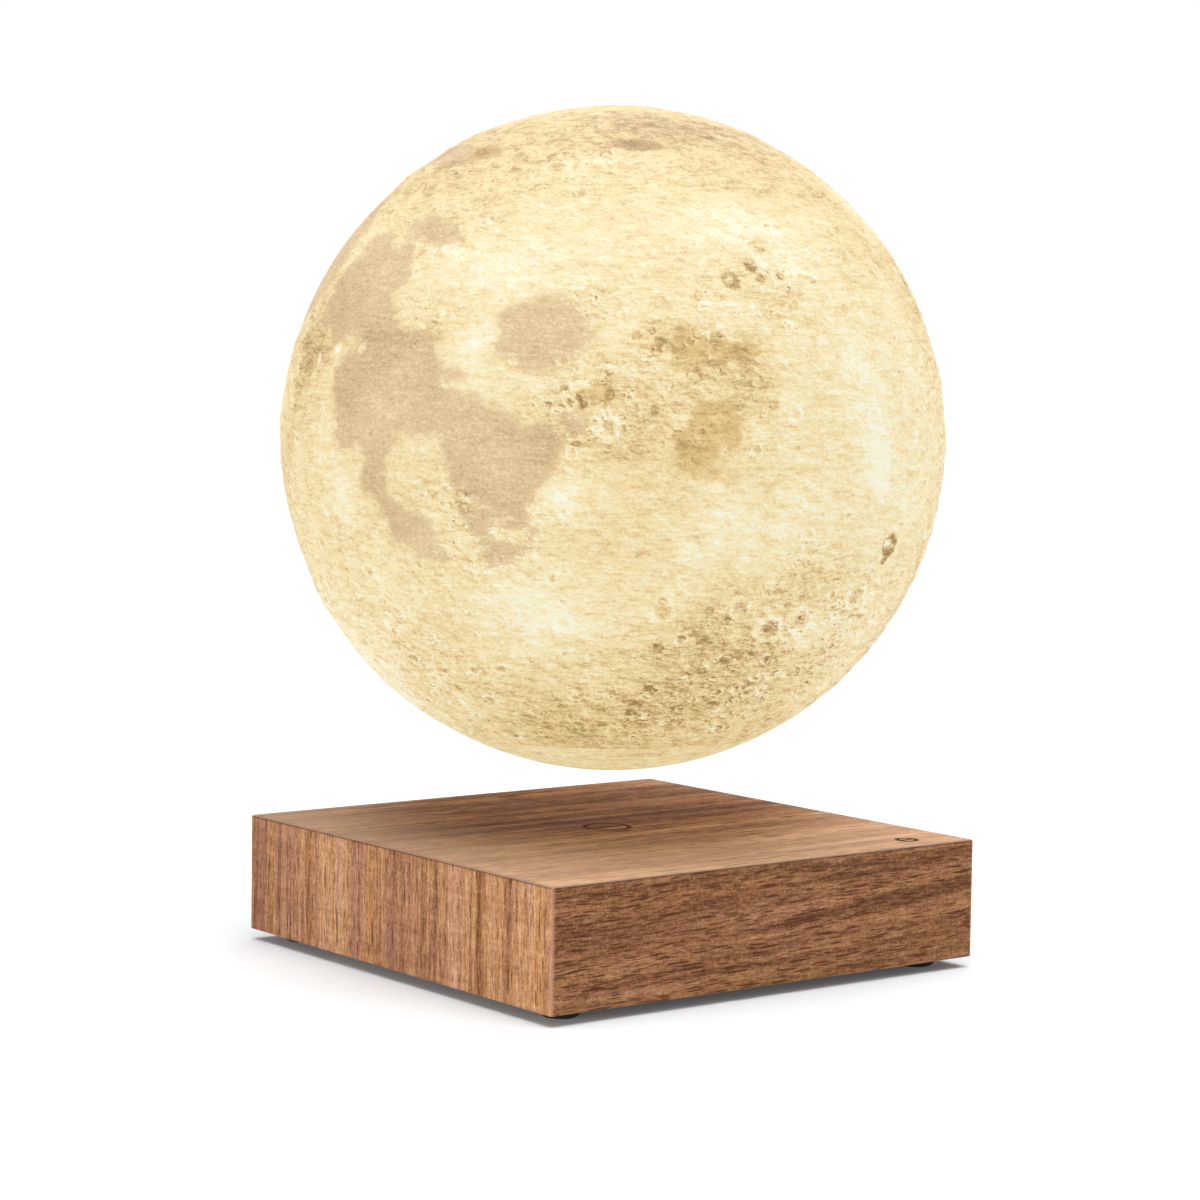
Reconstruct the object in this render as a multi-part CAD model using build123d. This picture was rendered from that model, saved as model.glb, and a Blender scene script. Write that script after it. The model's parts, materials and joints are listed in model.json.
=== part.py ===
"""A levitating moon lamp: a hollow printed moon that floats over a square walnut base.

The base is a mitred wooden box. Inside it a ring magnet and four electromagnets hold the moon up, a flat
coil sends it power, and a touch pad in one corner switches it. The moon carries a disc magnet, a receiving
coil and a board of lights in its bottom cap.

Lengths are in millimetres. +Z is up, the origin is on the table under the middle of the base, and the front
panel faces -Y. A name that ends in share or shares is a ratio, and every other number below is a length, an
angle in degrees or a count.
"""

import math
import os

from build123d import *

os.makedirs("parts", exist_ok=True)

# Clearances shared by many pieces
fit_gap = 0.05  # a screw in its hole, a pin in its seat
slip_gap = 0.25  # a loose piece beside its neighbour
overcut = 1.0  # how far a cutting solid runs past the face it cuts

# Wooden case
case_width = 142.0
case_height = 32.0
panel_thickness = 5.0
edge_ease = 0.5  # sanded corner along every outside edge

# Marks engraved in the top
engrave_depth = 0.3
engrave_width = 0.6
target_ring_radius = 6.3
target_bar_length = 8.0
touch_ring_radius = 2.7
touch_bar_length = 3.0
touch_side_inset = 16.0  # from the right face of the case
touch_front_inset = 9.5  # from the front face of the case

# Rubber feet, bottom plate and the blocks that hold it
foot_height = 3.5
foot_radius = 5.5
foot_edge_radius = 2.2  # the feet are low domes with a flat underside
plate_recess = 0.5  # the plate lies this far inside the case
plate_thickness = 2.5
plate_corner_radius = 2.0
block_size = 11.0
block_headroom = 6.0  # left free over each block
vent_count = 7
vent_length = 34.0
vent_width = 1.8
vent_pitch = 5.0

# Screws in the base
screw_radius = 1.5
screw_clearance = 0.2
plate_screw_length = 12.0
plate_screw_head_radius = 2.8
plate_screw_head_height = 1.6
tray_screw_length = 10.0
tray_screw_head_radius = 2.7
tray_screw_head_height = 1.7
cross_width = 0.7
cross_length = 3.2
cross_depth = 0.8

# Control board
boss_radius = 4.0
boss_height = 2.5
boss_seat_depth = 2.2  # the screw head's seat, up from the plate's underside
board_thickness = 1.6
board_margin = 8.0
board_corner_cut = 10.0

# Power socket on the back panel
socket_length = 12.2
socket_width = 9.0
socket_height = 11.0
socket_bore_height = 6.5  # bore's centre over the board
socket_bore_radius = 3.15
socket_bore_depth = 9.5
socket_nose_radius = 4.0
socket_nose_recess = 1.0  # the nose stops this far inside the back face
socket_hole_gap = 0.3
socket_pin_radius = 1.0
socket_pin_recess = 0.7
socket_pin_point = 0.4
socket_tail_radius = 0.8  # the pin's thinner end, held in the body
socket_tab_thickness = 0.6
socket_tab_width = 2.2
socket_leaf_thickness = 0.35
socket_leaf_rise = 0.3  # how far the leaf stands into the bore
socket_leaf_length = 6.0
socket_leaf_drop = 1.2  # room under the leaf for it to give way

# Levitation drive: tray, yoke, ring magnet, electromagnets, sensors
pocket_depth = 2.0  # routed up into the top panel
pocket_gap = 0.5
tray_gap = 0.7  # between the tray and the socket's tab
tray_wall = 1.8
tray_floor = 1.5
tray_notch_width = 7.0
tray_notch_depth = 2.6
leg_radius = 3.6
leg_height = 4.9  # room under the tray for the parts on the board
leg_edge_gap = 1.5
post_radius = 4.0
yoke_thickness = 1.5
ring_width_share = 0.26  # of the ring magnet's outer radius
ring_step = 1.5  # the ring magnet is this much lower than the bobbins
bobbin_flange = 1.0
bobbin_hub_wall = 1.1
bobbin_spacing = 8.0  # between the flanges of two neighbours
coil_ring_gap = 3.5
core_radius_share = 0.35  # of the bobbin's radius
winding_inset = 0.5
drive_headroom = 1.0
sensor_board_gap = 1.0
sensor_board_thickness = 1.0
sensor_board_drop = 2.5  # below the top of the bobbins
sensor_length = 4.0
sensor_width = 3.0
sensor_height = 1.4
sensor_inset = 4.2  # from the edge of their board to the middle of a sensor
sensor_count = 3
magnet_count = 4

# Power sending coil and its carrier
carrier_thickness = 1.5
carrier_rim_width = 2.0
carrier_rim_height = 1.9
carrier_rim_gap = 0.1
sender_outer_inset = 8.0
sender_width = 16.0
sender_height = 1.2
sender_hole_radius = 1.5

# Parts on the control board
capacitor_radius = 4.0
capacitor_height = 12.0
capacitor_pitch = 11.0
inductor_radius = 5.5
inductor_height = 6.0
tray_clearance = 1.5  # from the tray's wall to a tall part on the board
driver_length = 5.0
driver_width = 6.0
driver_height = 1.6
driver_offset_x = 24.0
driver_offset_y = 9.0
chip_size = 10.0
chip_height = 1.4
chip_offset = 14.0
pellet_length = 2.0
pellet_width = 1.25
pellet_height = 0.8
pellet_pitch = 4.0
pellet_columns = 6
pellet_rows = 3
connector_length = 10.0
connector_width = 5.8
connector_height = 6.0

# Touch pad and wires in the base
pad_radius = 3.6
pad_thickness = 0.8
magnet_lead_diameter = 1.6
sender_lead_diameter = 1.2
touch_lead_diameter = 0.9
lead_bend_radius = 2.4
lead_drop_gap = 1.6  # from the tray to a wire that runs down beside it
lead_start_inset = 20.0
magnet_lead_angle = -135.0  # degrees round from +X
sender_lead_angle = -45.0
capacitor_angle = 135.0
inductor_angle = 45.0
touch_connector_pitch = 13.5  # from the sending coil's connector to the touch pad's

# The moon
moon_radius = 90.0
shell_wall = 1.4
mouth_radius = 42.0
float_gap = 17.0  # from the top of the case to the moon's flat bottom
flat_radius = 9.5
seam_gap = 0.2
glue_gap = 0.1

# Bottom cap of the moon and what it carries
cap_wall = 2.0
rim_width = 1.8
spigot_wall = 2.0
spigot_height = 3.0
mouth_ring_height = 4.0
mouth_ring_width = 4.4
magnet_height = 8.0
magnet_gap = 0.1
cup_wall = 1.9
lid_gap = 0.3
lid_thickness = 1.0
rib_count = 12
rib_thickness = 1.2
rib_rise = 0.3  # top of the ribs over the cap's inside, where it meets the spigot
receiver_width = 6.4
receiver_height = 1.2
receiver_inner_gap = 0.5
receiver_outer_gap = 0.6
ferrite_thickness = 0.6
ferrite_inset = 1.0
cap_boss_count = 3
cap_boss_radius = 2.6
cap_boss_overlap = 0.7  # how far a boss sinks into the cup's wall
light_screw_radius = 1.25
light_screw_length = 6.0
light_screw_head_radius = 2.4
light_screw_head_height = 1.5

# Board of lights
light_board_thickness = 1.2
light_board_overhang = 3.5  # past the outside of the bosses
light_size = 5.0
light_height = 1.6
light_count = 8
light_edge_gap = 7.0  # from the screw heads to the ring of lights
receiver_chip_length = 6.0
receiver_chip_width = 5.0
receiver_chip_height = 1.8
receiver_capacitor_radius = 3.0
receiver_capacitor_height = 5.4
receiver_part_inset = 6.0  # from the edge of the board of lights
receiver_part_angle = 60.0  # degrees, midway between two screws
receiver_capacitor_spread = 14.0  # degrees each side of the capacitors' middle
receiver_lead_diameter = 0.8
receiver_lead_spread = 8.0  # degrees between the two wires

# Heights and half widths worked out from the sizes above
case_half = case_width / 2
inner_half = case_half - panel_thickness
case_bottom = foot_height - plate_recess
case_top = case_bottom + case_height
ceiling = case_top - panel_thickness
pocket_top = ceiling + pocket_depth
plate_bottom = foot_height
plate_top = plate_bottom + plate_thickness
corner_place = inner_half - block_size / 2  # the blocks and their screws share it
foot_place = inner_half - slip_gap - foot_radius
board_bottom = plate_top + boss_height
board_top = board_bottom + board_thickness
board_half = inner_half - board_margin

socket_front = inner_half - slip_gap
socket_back = socket_front - socket_length
socket_axis = board_top + socket_bore_height
socket_mouth = case_half - socket_nose_recess

tray_radius = socket_back - socket_tab_thickness - tray_gap
tray_inside = tray_radius - tray_wall
carrier_top = pocket_top - carrier_rim_gap - carrier_rim_height
carrier_bottom = carrier_top - carrier_thickness
tray_floor_bottom = board_top + leg_height
tray_floor_top = tray_floor_bottom + tray_floor
drive_base = tray_floor_top + yoke_thickness  # top of the yoke
bobbin_top = carrier_bottom - drive_headroom
ring_top = bobbin_top - ring_step
leg_place = (tray_radius - leg_radius - leg_edge_gap) / math.sqrt(2)
yoke_radius = tray_inside - slip_gap
ring_outer = yoke_radius - slip_gap
ring_inner = ring_outer * (1 - ring_width_share)
coil_room = ring_inner - coil_ring_gap
bobbin_radius = (math.sqrt(2) * coil_room - bobbin_spacing) / (2 + math.sqrt(2))  # four in a circle
coil_orbit = coil_room - bobbin_radius
core_radius = core_radius_share * bobbin_radius
sensor_board_radius = coil_orbit - bobbin_radius - sensor_board_gap
sensor_board_top = bobbin_top - sensor_board_drop + sensor_board_thickness
post_top = sensor_board_top - sensor_board_thickness
sensor_orbit = sensor_board_radius - sensor_inset
sender_outer = tray_radius - sender_outer_inset
sender_inner = sender_outer - sender_width

touch_x = case_half - touch_side_inset
touch_y = touch_front_inset - case_half

moon_centre = case_top + float_gap + math.sqrt(moon_radius**2 - flat_radius**2)
shell_inside = moon_radius - shell_wall
cap_inside = moon_radius - cap_wall
cap_radius = mouth_radius - seam_gap
spigot_outer = cap_radius - rim_width
spigot_inner = spigot_outer - spigot_wall
receiver_outer = spigot_inner - receiver_outer_gap
receiver_inner = receiver_outer - receiver_width
cap_boss_orbit = receiver_inner - receiver_inner_gap - cap_boss_radius
cup_outer = cap_boss_orbit - cap_boss_radius + cap_boss_overlap
cup_inner = cup_outer - cup_wall
magnet_radius = cup_inner - magnet_gap


def sphere_bottom(sphere_radius, reach):
    """Height of the lower half of a sphere about the moon's centre, at a distance from its axis."""
    return moon_centre - math.sqrt(sphere_radius**2 - reach**2)


cap_rim_top = sphere_bottom(shell_inside, mouth_radius)
spigot_top = cap_rim_top + spigot_height
cup_floor = sphere_bottom(cap_inside, cup_inner)
magnet_bottom = cup_floor + magnet_gap
magnet_top = magnet_bottom + magnet_height
cup_top = magnet_top + lid_gap
lid_top = cup_top + lid_thickness
rib_top = sphere_bottom(cap_inside, spigot_inner) + rib_rise
receiver_top = rib_top + receiver_height
light_board_top = lid_top + light_board_thickness
light_board_radius = cap_boss_orbit + cap_boss_radius + light_board_overhang
light_orbit = cap_boss_orbit - light_screw_head_radius - light_edge_gap - light_size / 2
receiver_part_orbit = light_board_radius - receiver_part_inset


# Simple solids between two heights


def disc(radius, low, high, place=(0, 0)):
    """An upright cylinder from one height to another."""
    upright = Cylinder(radius, high - low, align=(Align.CENTER, Align.CENTER, Align.MIN))
    return Pos(place[0], place[1], low) * upright


def hoop(outer, inner, low, high, place=(0, 0)):
    """A disc with a round hole right through it."""
    return disc(outer, low, high, place) - disc(inner, low - overcut, high + overcut, place)


def block(length, width, low, high, place=(0, 0)):
    """A box from one height to another, centred on a place."""
    box = Box(length, width, high - low, align=(Align.CENTER, Align.CENTER, Align.MIN))
    return Pos(place[0], place[1], low) * box


def around(count, orbit, start=0.0):
    """Places spaced evenly on a circle about the middle, as (x, y, angle in degrees)."""
    turns = [start + 360.0 * step / count for step in range(count)]
    return [(orbit * math.cos(math.radians(t)), orbit * math.sin(math.radians(t)), t) for t in turns]


def on_ray(reach, height, angle):
    """A point at a distance from the upright axis, a height and an angle in degrees."""
    return (reach * math.cos(math.radians(angle)), reach * math.sin(math.radians(angle)), height)


def corners(reach):
    """The four corners of a square about the middle."""
    return [(x * reach, y * reach) for x in (-1, 1) for y in (-1, 1)]


def turned(outline):
    """Turns a closed outline of (distance from the axis, height) edges about the upright axis."""
    return revolve(Plane.XZ * make_face(Curve() + outline), axis=Axis.Z)


def group(solids):
    """Separate solids kept together in one sub-part."""
    return Compound(children=list(solids))


def wire(points, bends, diameter):
    """A round wire along straight runs joined by arcs."""
    path = FilletPolyline(*points, radius=bends)
    start = Plane(origin=path @ 0, z_dir=path % 0)
    return sweep(start * Circle(diameter / 2), path=path)


# Wooden case


def mitred(sections):
    """A panel lofted from outside to inside through (depth, half width, low, high) rectangles."""
    faces = []
    for depth, half_width, low, high in sections:
        upright = Plane(origin=(0, -depth, 0), x_dir=(1, 0, 0), z_dir=(0, -1, 0))
        faces.append(upright * Pos(0, (low + high) / 2) * Rectangle(2 * half_width, high - low))
    return loft(Sketch() + faces, ruled=True)


def side_panel():
    """The front panel: 45 degree mitres at both ends and along the top, and sanded outside edges."""
    half_ease = edge_ease / 2
    return mitred(
        [
            (case_half, case_half - edge_ease, case_bottom, case_top - edge_ease),
            (case_half - half_ease, case_half - half_ease, case_bottom, case_top - half_ease),
            (inner_half, inner_half, case_bottom, ceiling),
        ]
    )


def ring_and_bar(radius, bar_length, place):
    """An engraved ring with a bar across it, as the solid that the engraving takes away."""
    low, high = case_top - engrave_depth, case_top + overcut
    ring = hoop(radius, radius - engrave_width, low, high, place)
    return ring + block(bar_length, engrave_width, low, high, place)


def top_panel():
    """The top: mitred on four sides, engraved above, and pocketed below for the drive."""
    half_ease = edge_ease / 2
    levels = [
        (case_top, case_half - edge_ease),
        (case_top - half_ease, case_half - half_ease),
        (ceiling, inner_half),
    ]
    faces = [Plane.XY.offset(height) * Rectangle(2 * half, 2 * half) for height, half in levels]
    panel = loft(Sketch() + faces, ruled=True)
    panel -= disc(tray_radius + pocket_gap, ceiling - overcut, pocket_top)
    panel -= ring_and_bar(target_ring_radius, target_bar_length, (0, 0))
    panel -= ring_and_bar(touch_ring_radius, touch_bar_length, (touch_x, touch_y))
    return panel


def socket_cylinder(radius, start, end):
    """A cylinder on the power socket's axis, from one distance behind the middle to another."""
    along = Cylinder(radius, end - start, align=(Align.CENTER, Align.CENTER, Align.MIN))
    return Pos(0, start, socket_axis) * Rot(-90, 0, 0) * along


def back_panel():
    """The back panel, with the hole for the power socket's nose."""
    hole = socket_cylinder(socket_nose_radius + socket_hole_gap, inner_half - overcut, case_half + overcut)
    return Rot(0, 0, 180) * side_panel() - hole


def corner_blocks():
    """Glue blocks in the four corners, which the bottom plate is screwed to."""
    top = ceiling - block_headroom
    pilot_top = plate_bottom + plate_screw_length + slip_gap
    blocks = []
    for place in corners(corner_place):
        hole = disc(screw_radius + fit_gap, plate_top - overcut, pilot_top, place)
        blocks.append(block(block_size, block_size, plate_top, top, place) - hole)
    return group(blocks)


# Bottom plate, feet and screws


def countersink(gap, place):
    """The cone of a flat screw head that is level with the plate's underside."""
    cone = Cone(
        plate_screw_head_radius + gap,
        screw_radius + gap,
        plate_screw_head_height,
        align=(Align.CENTER, Align.CENTER, Align.MIN),
    )
    return Pos(place[0], place[1], plate_bottom) * cone


def bottom_plate():
    """The moulded plate that closes the case: bosses for the board, seats for screws, and vents."""
    half = inner_half - slip_gap
    outline = RectangleRounded(2 * half, 2 * half, plate_corner_radius)
    plate = extrude(Plane.XY.offset(plate_bottom) * outline, plate_thickness)
    hole_radius = screw_radius + screw_clearance
    for place in corners(leg_place):
        plate += disc(boss_radius, plate_top, board_bottom, place)
        seat_radius = tray_screw_head_radius + screw_clearance
        plate -= disc(seat_radius, plate_bottom - overcut, plate_bottom + boss_seat_depth, place)
        plate -= disc(hole_radius, plate_bottom - overcut, board_bottom + overcut, place)
    for place in corners(corner_place):
        plate -= disc(hole_radius, plate_bottom - overcut, plate_top + overcut, place)
        plate -= countersink(fit_gap, place)
    for step in range(vent_count):
        middle = (step - (vent_count - 1) / 2) * vent_pitch
        slot = Pos(0, middle) * SlotOverall(vent_length, vent_width)
        plate -= extrude(Plane.XY.offset(plate_bottom - overcut) * slot, plate_thickness + 2 * overcut)
    return plate


def cross_recess(face, depth_way, place):
    """The cross slot of a screw head, cut from its face in the way given, 1 up or -1 down."""
    low, high = sorted((face - depth_way * overcut, face + depth_way * cross_depth))
    bar = block(cross_length, cross_width, low, high, place)
    return bar + block(cross_width, cross_length, low, high, place)


def plate_screws():
    """Flat head screws through the plate into the corner blocks, each one under a foot."""
    screws = []
    for place in corners(corner_place):
        shank = disc(screw_radius, plate_bottom, plate_bottom + plate_screw_length, place)
        screws.append(shank + countersink(0, place) - cross_recess(plate_bottom, 1, place))
    return group(screws)


def tray_screws():
    """Pan head screws up through the plate and the board into the tray's legs."""
    seat = plate_bottom + boss_seat_depth
    screws = []
    for place in corners(leg_place):
        shank = disc(screw_radius, seat, seat + tray_screw_length, place)
        head = disc(tray_screw_head_radius, seat - tray_screw_head_height, seat, place)
        recess = cross_recess(seat - tray_screw_head_height, 1, place)
        screws.append(shank + head - recess)
    return group(screws)


def rubber_feet():
    """Low domes stuck to the plate over the corner screws."""
    feet = []
    for place in corners(foot_place):
        foot = disc(foot_radius, 0, foot_height, place)
        feet.append(fillet(foot.edges().group_by(Axis.Z)[0], foot_edge_radius))
    return group(feet)


# Control board and its parts


def control_board():
    """The square circuit board, with its corners cut to pass the glue blocks."""
    outline = Rectangle(2 * board_half, 2 * board_half)
    outline = chamfer(outline.vertices(), board_corner_cut)
    board = extrude(Plane.XY.offset(board_bottom) * outline, board_thickness)
    for place in corners(leg_place):
        board -= disc(screw_radius + screw_clearance, board_bottom - overcut, board_top + overcut, place)
    return board


def beside_tray(depth, angle, shift=0.0):
    """The middle of a part that stands beside the tray, shifted along the tray's wall, and its angle."""
    reach = tray_radius + tray_clearance + depth / 2
    turn = angle + math.degrees(shift / reach)
    return on_ray(reach, 0, turn)[:2], turn


def board_capacitors():
    """Two upright capacitors in the board's back left corner."""
    top = board_top + capacitor_height
    shifts = (-capacitor_pitch / 2, capacitor_pitch / 2)
    spots = [beside_tray(2 * capacitor_radius, capacitor_angle, shift)[0] for shift in shifts]
    return group(disc(capacitor_radius, board_top, top, spot) for spot in spots)


def board_inductor():
    """A drum inductor in the board's back right corner."""
    spot = beside_tray(2 * inductor_radius, inductor_angle)[0]
    return disc(inductor_radius, board_top, board_top + inductor_height, spot)


def driver_chips():
    """Four driver chips, one for each electromagnet."""
    top = board_top + driver_height
    spots = [(x * driver_offset_x, y * driver_offset_y) for x in (-1, 1) for y in (-1, 1)]
    return group(block(driver_length, driver_width, board_top, top, spot) for spot in spots)


def control_chip():
    """The chip that reads the sensors and steers the electromagnets."""
    return block(chip_size, chip_size, board_top, board_top + chip_height, (0, chip_offset))


def small_parts():
    """Resistors and capacitors in rows in front of the control chip."""
    pellets = []
    for column in range(pellet_columns):
        for row in range(pellet_rows):
            x = (column - (pellet_columns - 1) / 2) * pellet_pitch
            y = -(row + 1 / 2) * pellet_pitch
            pellets.append(block(pellet_length, pellet_width, board_top, board_top + pellet_height, (x, y)))
    return group(pellets)


connector_spots = {
    "magnets": beside_tray(connector_width, magnet_lead_angle),
    "sender": beside_tray(connector_width, sender_lead_angle),
    "touch": beside_tray(connector_width, sender_lead_angle, touch_connector_pitch),
}


def board_connectors():
    """White wire connectors for the electromagnets, the sending coil and the touch pad."""
    shell = block(connector_width, connector_length, board_top, board_top + connector_height)
    return group(Pos(*spot, 0) * Rot(0, 0, turn) * shell for spot, turn in connector_spots.values())


# Power socket


def socket_body():
    """The moulded body of the power socket, with its round nose in the back panel."""
    body = block(
        socket_width,
        socket_length,
        board_top,
        board_top + socket_height,
        (0, (socket_front + socket_back) / 2),
    )
    body += socket_cylinder(socket_nose_radius, socket_back + socket_length / 2, socket_mouth)
    bore_end = socket_mouth - socket_bore_depth
    body -= socket_cylinder(socket_bore_radius, bore_end, socket_mouth + overcut)
    body -= socket_cylinder(socket_tail_radius + fit_gap, socket_back - overcut, bore_end + overcut)
    slot_width = socket_tab_width + 2 * slip_gap
    slot_bottom = socket_axis - socket_bore_radius - socket_leaf_drop
    slot_start = bore_end - socket_leaf_thickness
    slot_end = bore_end + socket_leaf_length + slip_gap
    middle = (0, (slot_start + slot_end) / 2)
    body -= block(slot_width, slot_end - slot_start, slot_bottom, socket_axis, middle)
    leg_place_y = (0, slot_start + socket_leaf_thickness / 2)
    body -= block(slot_width, socket_leaf_thickness, board_top - overcut, socket_axis, leg_place_y)
    return body


def socket_pin():
    """The centre pin, pointed in front, with a tab behind that is soldered to the board."""
    bore_end = socket_mouth - socket_bore_depth
    pin = socket_cylinder(socket_pin_radius, bore_end, socket_mouth - socket_pin_recess)
    pin = chamfer(pin.edges().filter_by(GeomType.CIRCLE).group_by(Axis.Y)[-1], socket_pin_point)
    pin += socket_cylinder(socket_tail_radius, socket_back, bore_end)
    tab_middle = (0, socket_back - socket_tab_thickness / 2)
    tab_top = socket_axis + socket_tail_radius
    return pin + block(socket_tab_width, socket_tab_thickness, board_top, tab_top, tab_middle)


def socket_leaf():
    """The spring leaf that presses on a plug's outside, with a leg down to the board."""
    start = socket_mouth - socket_bore_depth - socket_leaf_thickness
    end = start + socket_leaf_thickness + socket_leaf_length
    top = socket_axis - socket_bore_radius + socket_leaf_rise
    middle = (0, (start + end) / 2)
    leaf = block(socket_tab_width, end - start, top - socket_leaf_thickness, top, middle)
    leg_middle = (0, start + socket_leaf_thickness / 2)
    return leaf + block(socket_tab_width, socket_leaf_thickness, board_top, top, leg_middle)


# Levitation drive


def drive_tray():
    """The round tub that holds the magnets: four legs below, a post in the middle, notches for wires."""
    tray = disc(tray_radius, tray_floor_bottom, carrier_bottom)
    tray -= disc(tray_inside, tray_floor_top, carrier_bottom + overcut)
    tray += disc(post_radius, tray_floor_top, post_top)
    pilot_top = plate_bottom + boss_seat_depth + tray_screw_length + slip_gap
    for place in corners(leg_place):
        tray += disc(leg_radius, board_top, tray_floor_bottom, place)
        tray -= disc(screw_radius + fit_gap, board_top - overcut, pilot_top, place)
    for angle in (magnet_lead_angle, sender_lead_angle):
        notch = block(
            tray_wall + 2 * overcut,
            tray_notch_width,
            carrier_bottom - tray_notch_depth,
            carrier_bottom + overcut,
            (tray_radius - tray_wall / 2, 0),
        )
        tray -= Rot(0, 0, angle) * notch
    return tray


def yoke_plate():
    """The steel plate under the magnets, with a hole for the tray's post."""
    return hoop(yoke_radius, post_radius + slip_gap, tray_floor_top, drive_base)


def ring_magnet():
    """The ring magnet that carries the moon's weight."""
    return hoop(ring_outer, ring_inner, drive_base, ring_top)


def coil_bobbins():
    """Four flanged bobbins on the yoke."""
    hub_inner = core_radius + fit_gap
    bobbins = []
    for x, y, _ in around(magnet_count, coil_orbit):
        hub = hoop(hub_inner + bobbin_hub_wall, hub_inner, drive_base, bobbin_top, (x, y))
        lower = hoop(bobbin_radius, hub_inner, drive_base, drive_base + bobbin_flange, (x, y))
        upper = hoop(bobbin_radius, hub_inner, bobbin_top - bobbin_flange, bobbin_top, (x, y))
        bobbins.append(hub + lower + upper)
    return group(bobbins)


def coil_windings():
    """The copper windings between the flanges of the bobbins."""
    inner = core_radius + fit_gap + bobbin_hub_wall + fit_gap
    outer = bobbin_radius - winding_inset
    low = drive_base + bobbin_flange + fit_gap
    high = bobbin_top - bobbin_flange - fit_gap
    return group(hoop(outer, inner, low, high, (x, y)) for x, y, _ in around(magnet_count, coil_orbit))


def coil_cores():
    """The iron core of each electromagnet."""
    places = [(x, y) for x, y, _ in around(magnet_count, coil_orbit)]
    return group(disc(core_radius, drive_base, bobbin_top, place) for place in places)


def sensor_board():
    """The small round board on the tray's post."""
    return disc(sensor_board_radius, post_top, sensor_board_top)


def field_sensors():
    """Sensors that feel where the moon's magnet is."""
    sensors = []
    for x, y, angle in around(sensor_count, sensor_orbit, 90):
        chip = block(sensor_length, sensor_width, sensor_board_top, sensor_board_top + sensor_height)
        sensors.append(Pos(x, y, 0) * Rot(0, 0, angle + 90) * chip)
    return group(sensors)


sender_lead_orbit = sender_outer + sender_lead_diameter / 2 + slip_gap + fit_gap
sender_lead_place = around(1, sender_lead_orbit, sender_lead_angle)[0][:2]


def coil_carrier():
    """The lid of the tray, which carries the sending coil and fills the pocket in the top panel."""
    carrier = disc(tray_radius, carrier_bottom, carrier_top)
    rim_inner = tray_radius - carrier_rim_width
    carrier += hoop(tray_radius, rim_inner, carrier_top, carrier_top + carrier_rim_height)
    hole = disc(sender_hole_radius, carrier_bottom - overcut, carrier_top + overcut, sender_lead_place)
    return carrier - hole


def sending_coil():
    """The flat coil that sends power up to the moon."""
    return hoop(sender_outer, sender_inner, carrier_top, carrier_top + sender_height)


# Touch pad and wires in the base


def touch_pad():
    """The copper pad under the ring at the corner of the top."""
    return disc(pad_radius, ceiling - pad_thickness, ceiling, (touch_x, touch_y))


wire_run_height = (ring_top + carrier_bottom) / 2  # between the ring magnet and the carrier
wire_drop = tray_radius + lead_drop_gap


def magnet_lead():
    """The bundle from the electromagnets, over the ring magnet and down to its connector."""
    top = board_top + connector_height
    connector = connector_spots["magnets"][0]
    drop = wire_drop + magnet_lead_diameter / 2
    points = [
        on_ray(tray_radius - lead_start_inset, wire_run_height, magnet_lead_angle),
        on_ray(drop, wire_run_height, magnet_lead_angle),
        on_ray(drop, (top + wire_run_height) / 2, magnet_lead_angle),
        (*connector, top + lead_bend_radius),
        (*connector, top),
    ]
    return wire(points, lead_bend_radius / 2, magnet_lead_diameter)


def sender_lead():
    """The wire from the sending coil, down through the carrier and out to its connector."""
    top = board_top + connector_height
    connector = connector_spots["sender"][0]
    drop = wire_drop + sender_lead_diameter / 2
    points = [
        (*sender_lead_place, carrier_top + sender_height),
        (*sender_lead_place, wire_run_height),
        on_ray(drop, wire_run_height, sender_lead_angle),
        on_ray(drop, (top + wire_run_height) / 2, sender_lead_angle),
        (*connector, top + lead_bend_radius),
        (*connector, top),
    ]
    return wire(points, lead_bend_radius / 2, sender_lead_diameter)


def touch_lead():
    """The wire from the touch pad down to its connector."""
    top = board_top + connector_height
    low = ceiling - pad_thickness
    connector = connector_spots["touch"][0]
    points = [
        (touch_x, touch_y, low),
        (touch_x, touch_y, low - 2 * lead_bend_radius),
        (*connector, top + 2 * lead_bend_radius),
        (*connector, top),
    ]
    return wire(points, lead_bend_radius, touch_lead_diameter)


# The moon


def sphere_arc(sphere_radius, start_reach, end_reach):
    """The part of a sphere's outline below its middle, between two distances from the axis."""
    middle = (start_reach + end_reach) / 2
    points = [(reach, sphere_bottom(sphere_radius, reach)) for reach in (start_reach, middle, end_reach)]
    return ThreePointArc(*points)


def moon_shell():
    """The thin printed moon, open below at its mouth."""
    outer_end = (mouth_radius, sphere_bottom(moon_radius, mouth_radius))
    inner_end = (mouth_radius, sphere_bottom(shell_inside, mouth_radius))
    outer_top = (0, moon_centre + moon_radius)
    inner_top = (0, moon_centre + shell_inside)
    return turned(
        [
            ThreePointArc(outer_end, (moon_radius, moon_centre), outer_top),
            Line(outer_top, inner_top),
            ThreePointArc(inner_top, (shell_inside, moon_centre), inner_end),
            Line(inner_end, outer_end),
        ]
    )


def moon_ball(radius):
    """A solid ball about the moon's centre."""
    return Pos(0, 0, moon_centre) * Sphere(radius)


def mouth_ring():
    """The ring glued inside the moon's mouth, which the cap's spigot slides into."""
    bore = spigot_outer + glue_gap
    ring = hoop(bore + mouth_ring_width, bore, cap_rim_top, cap_rim_top + mouth_ring_height)
    return ring & moon_ball(shell_inside - glue_gap)


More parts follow.
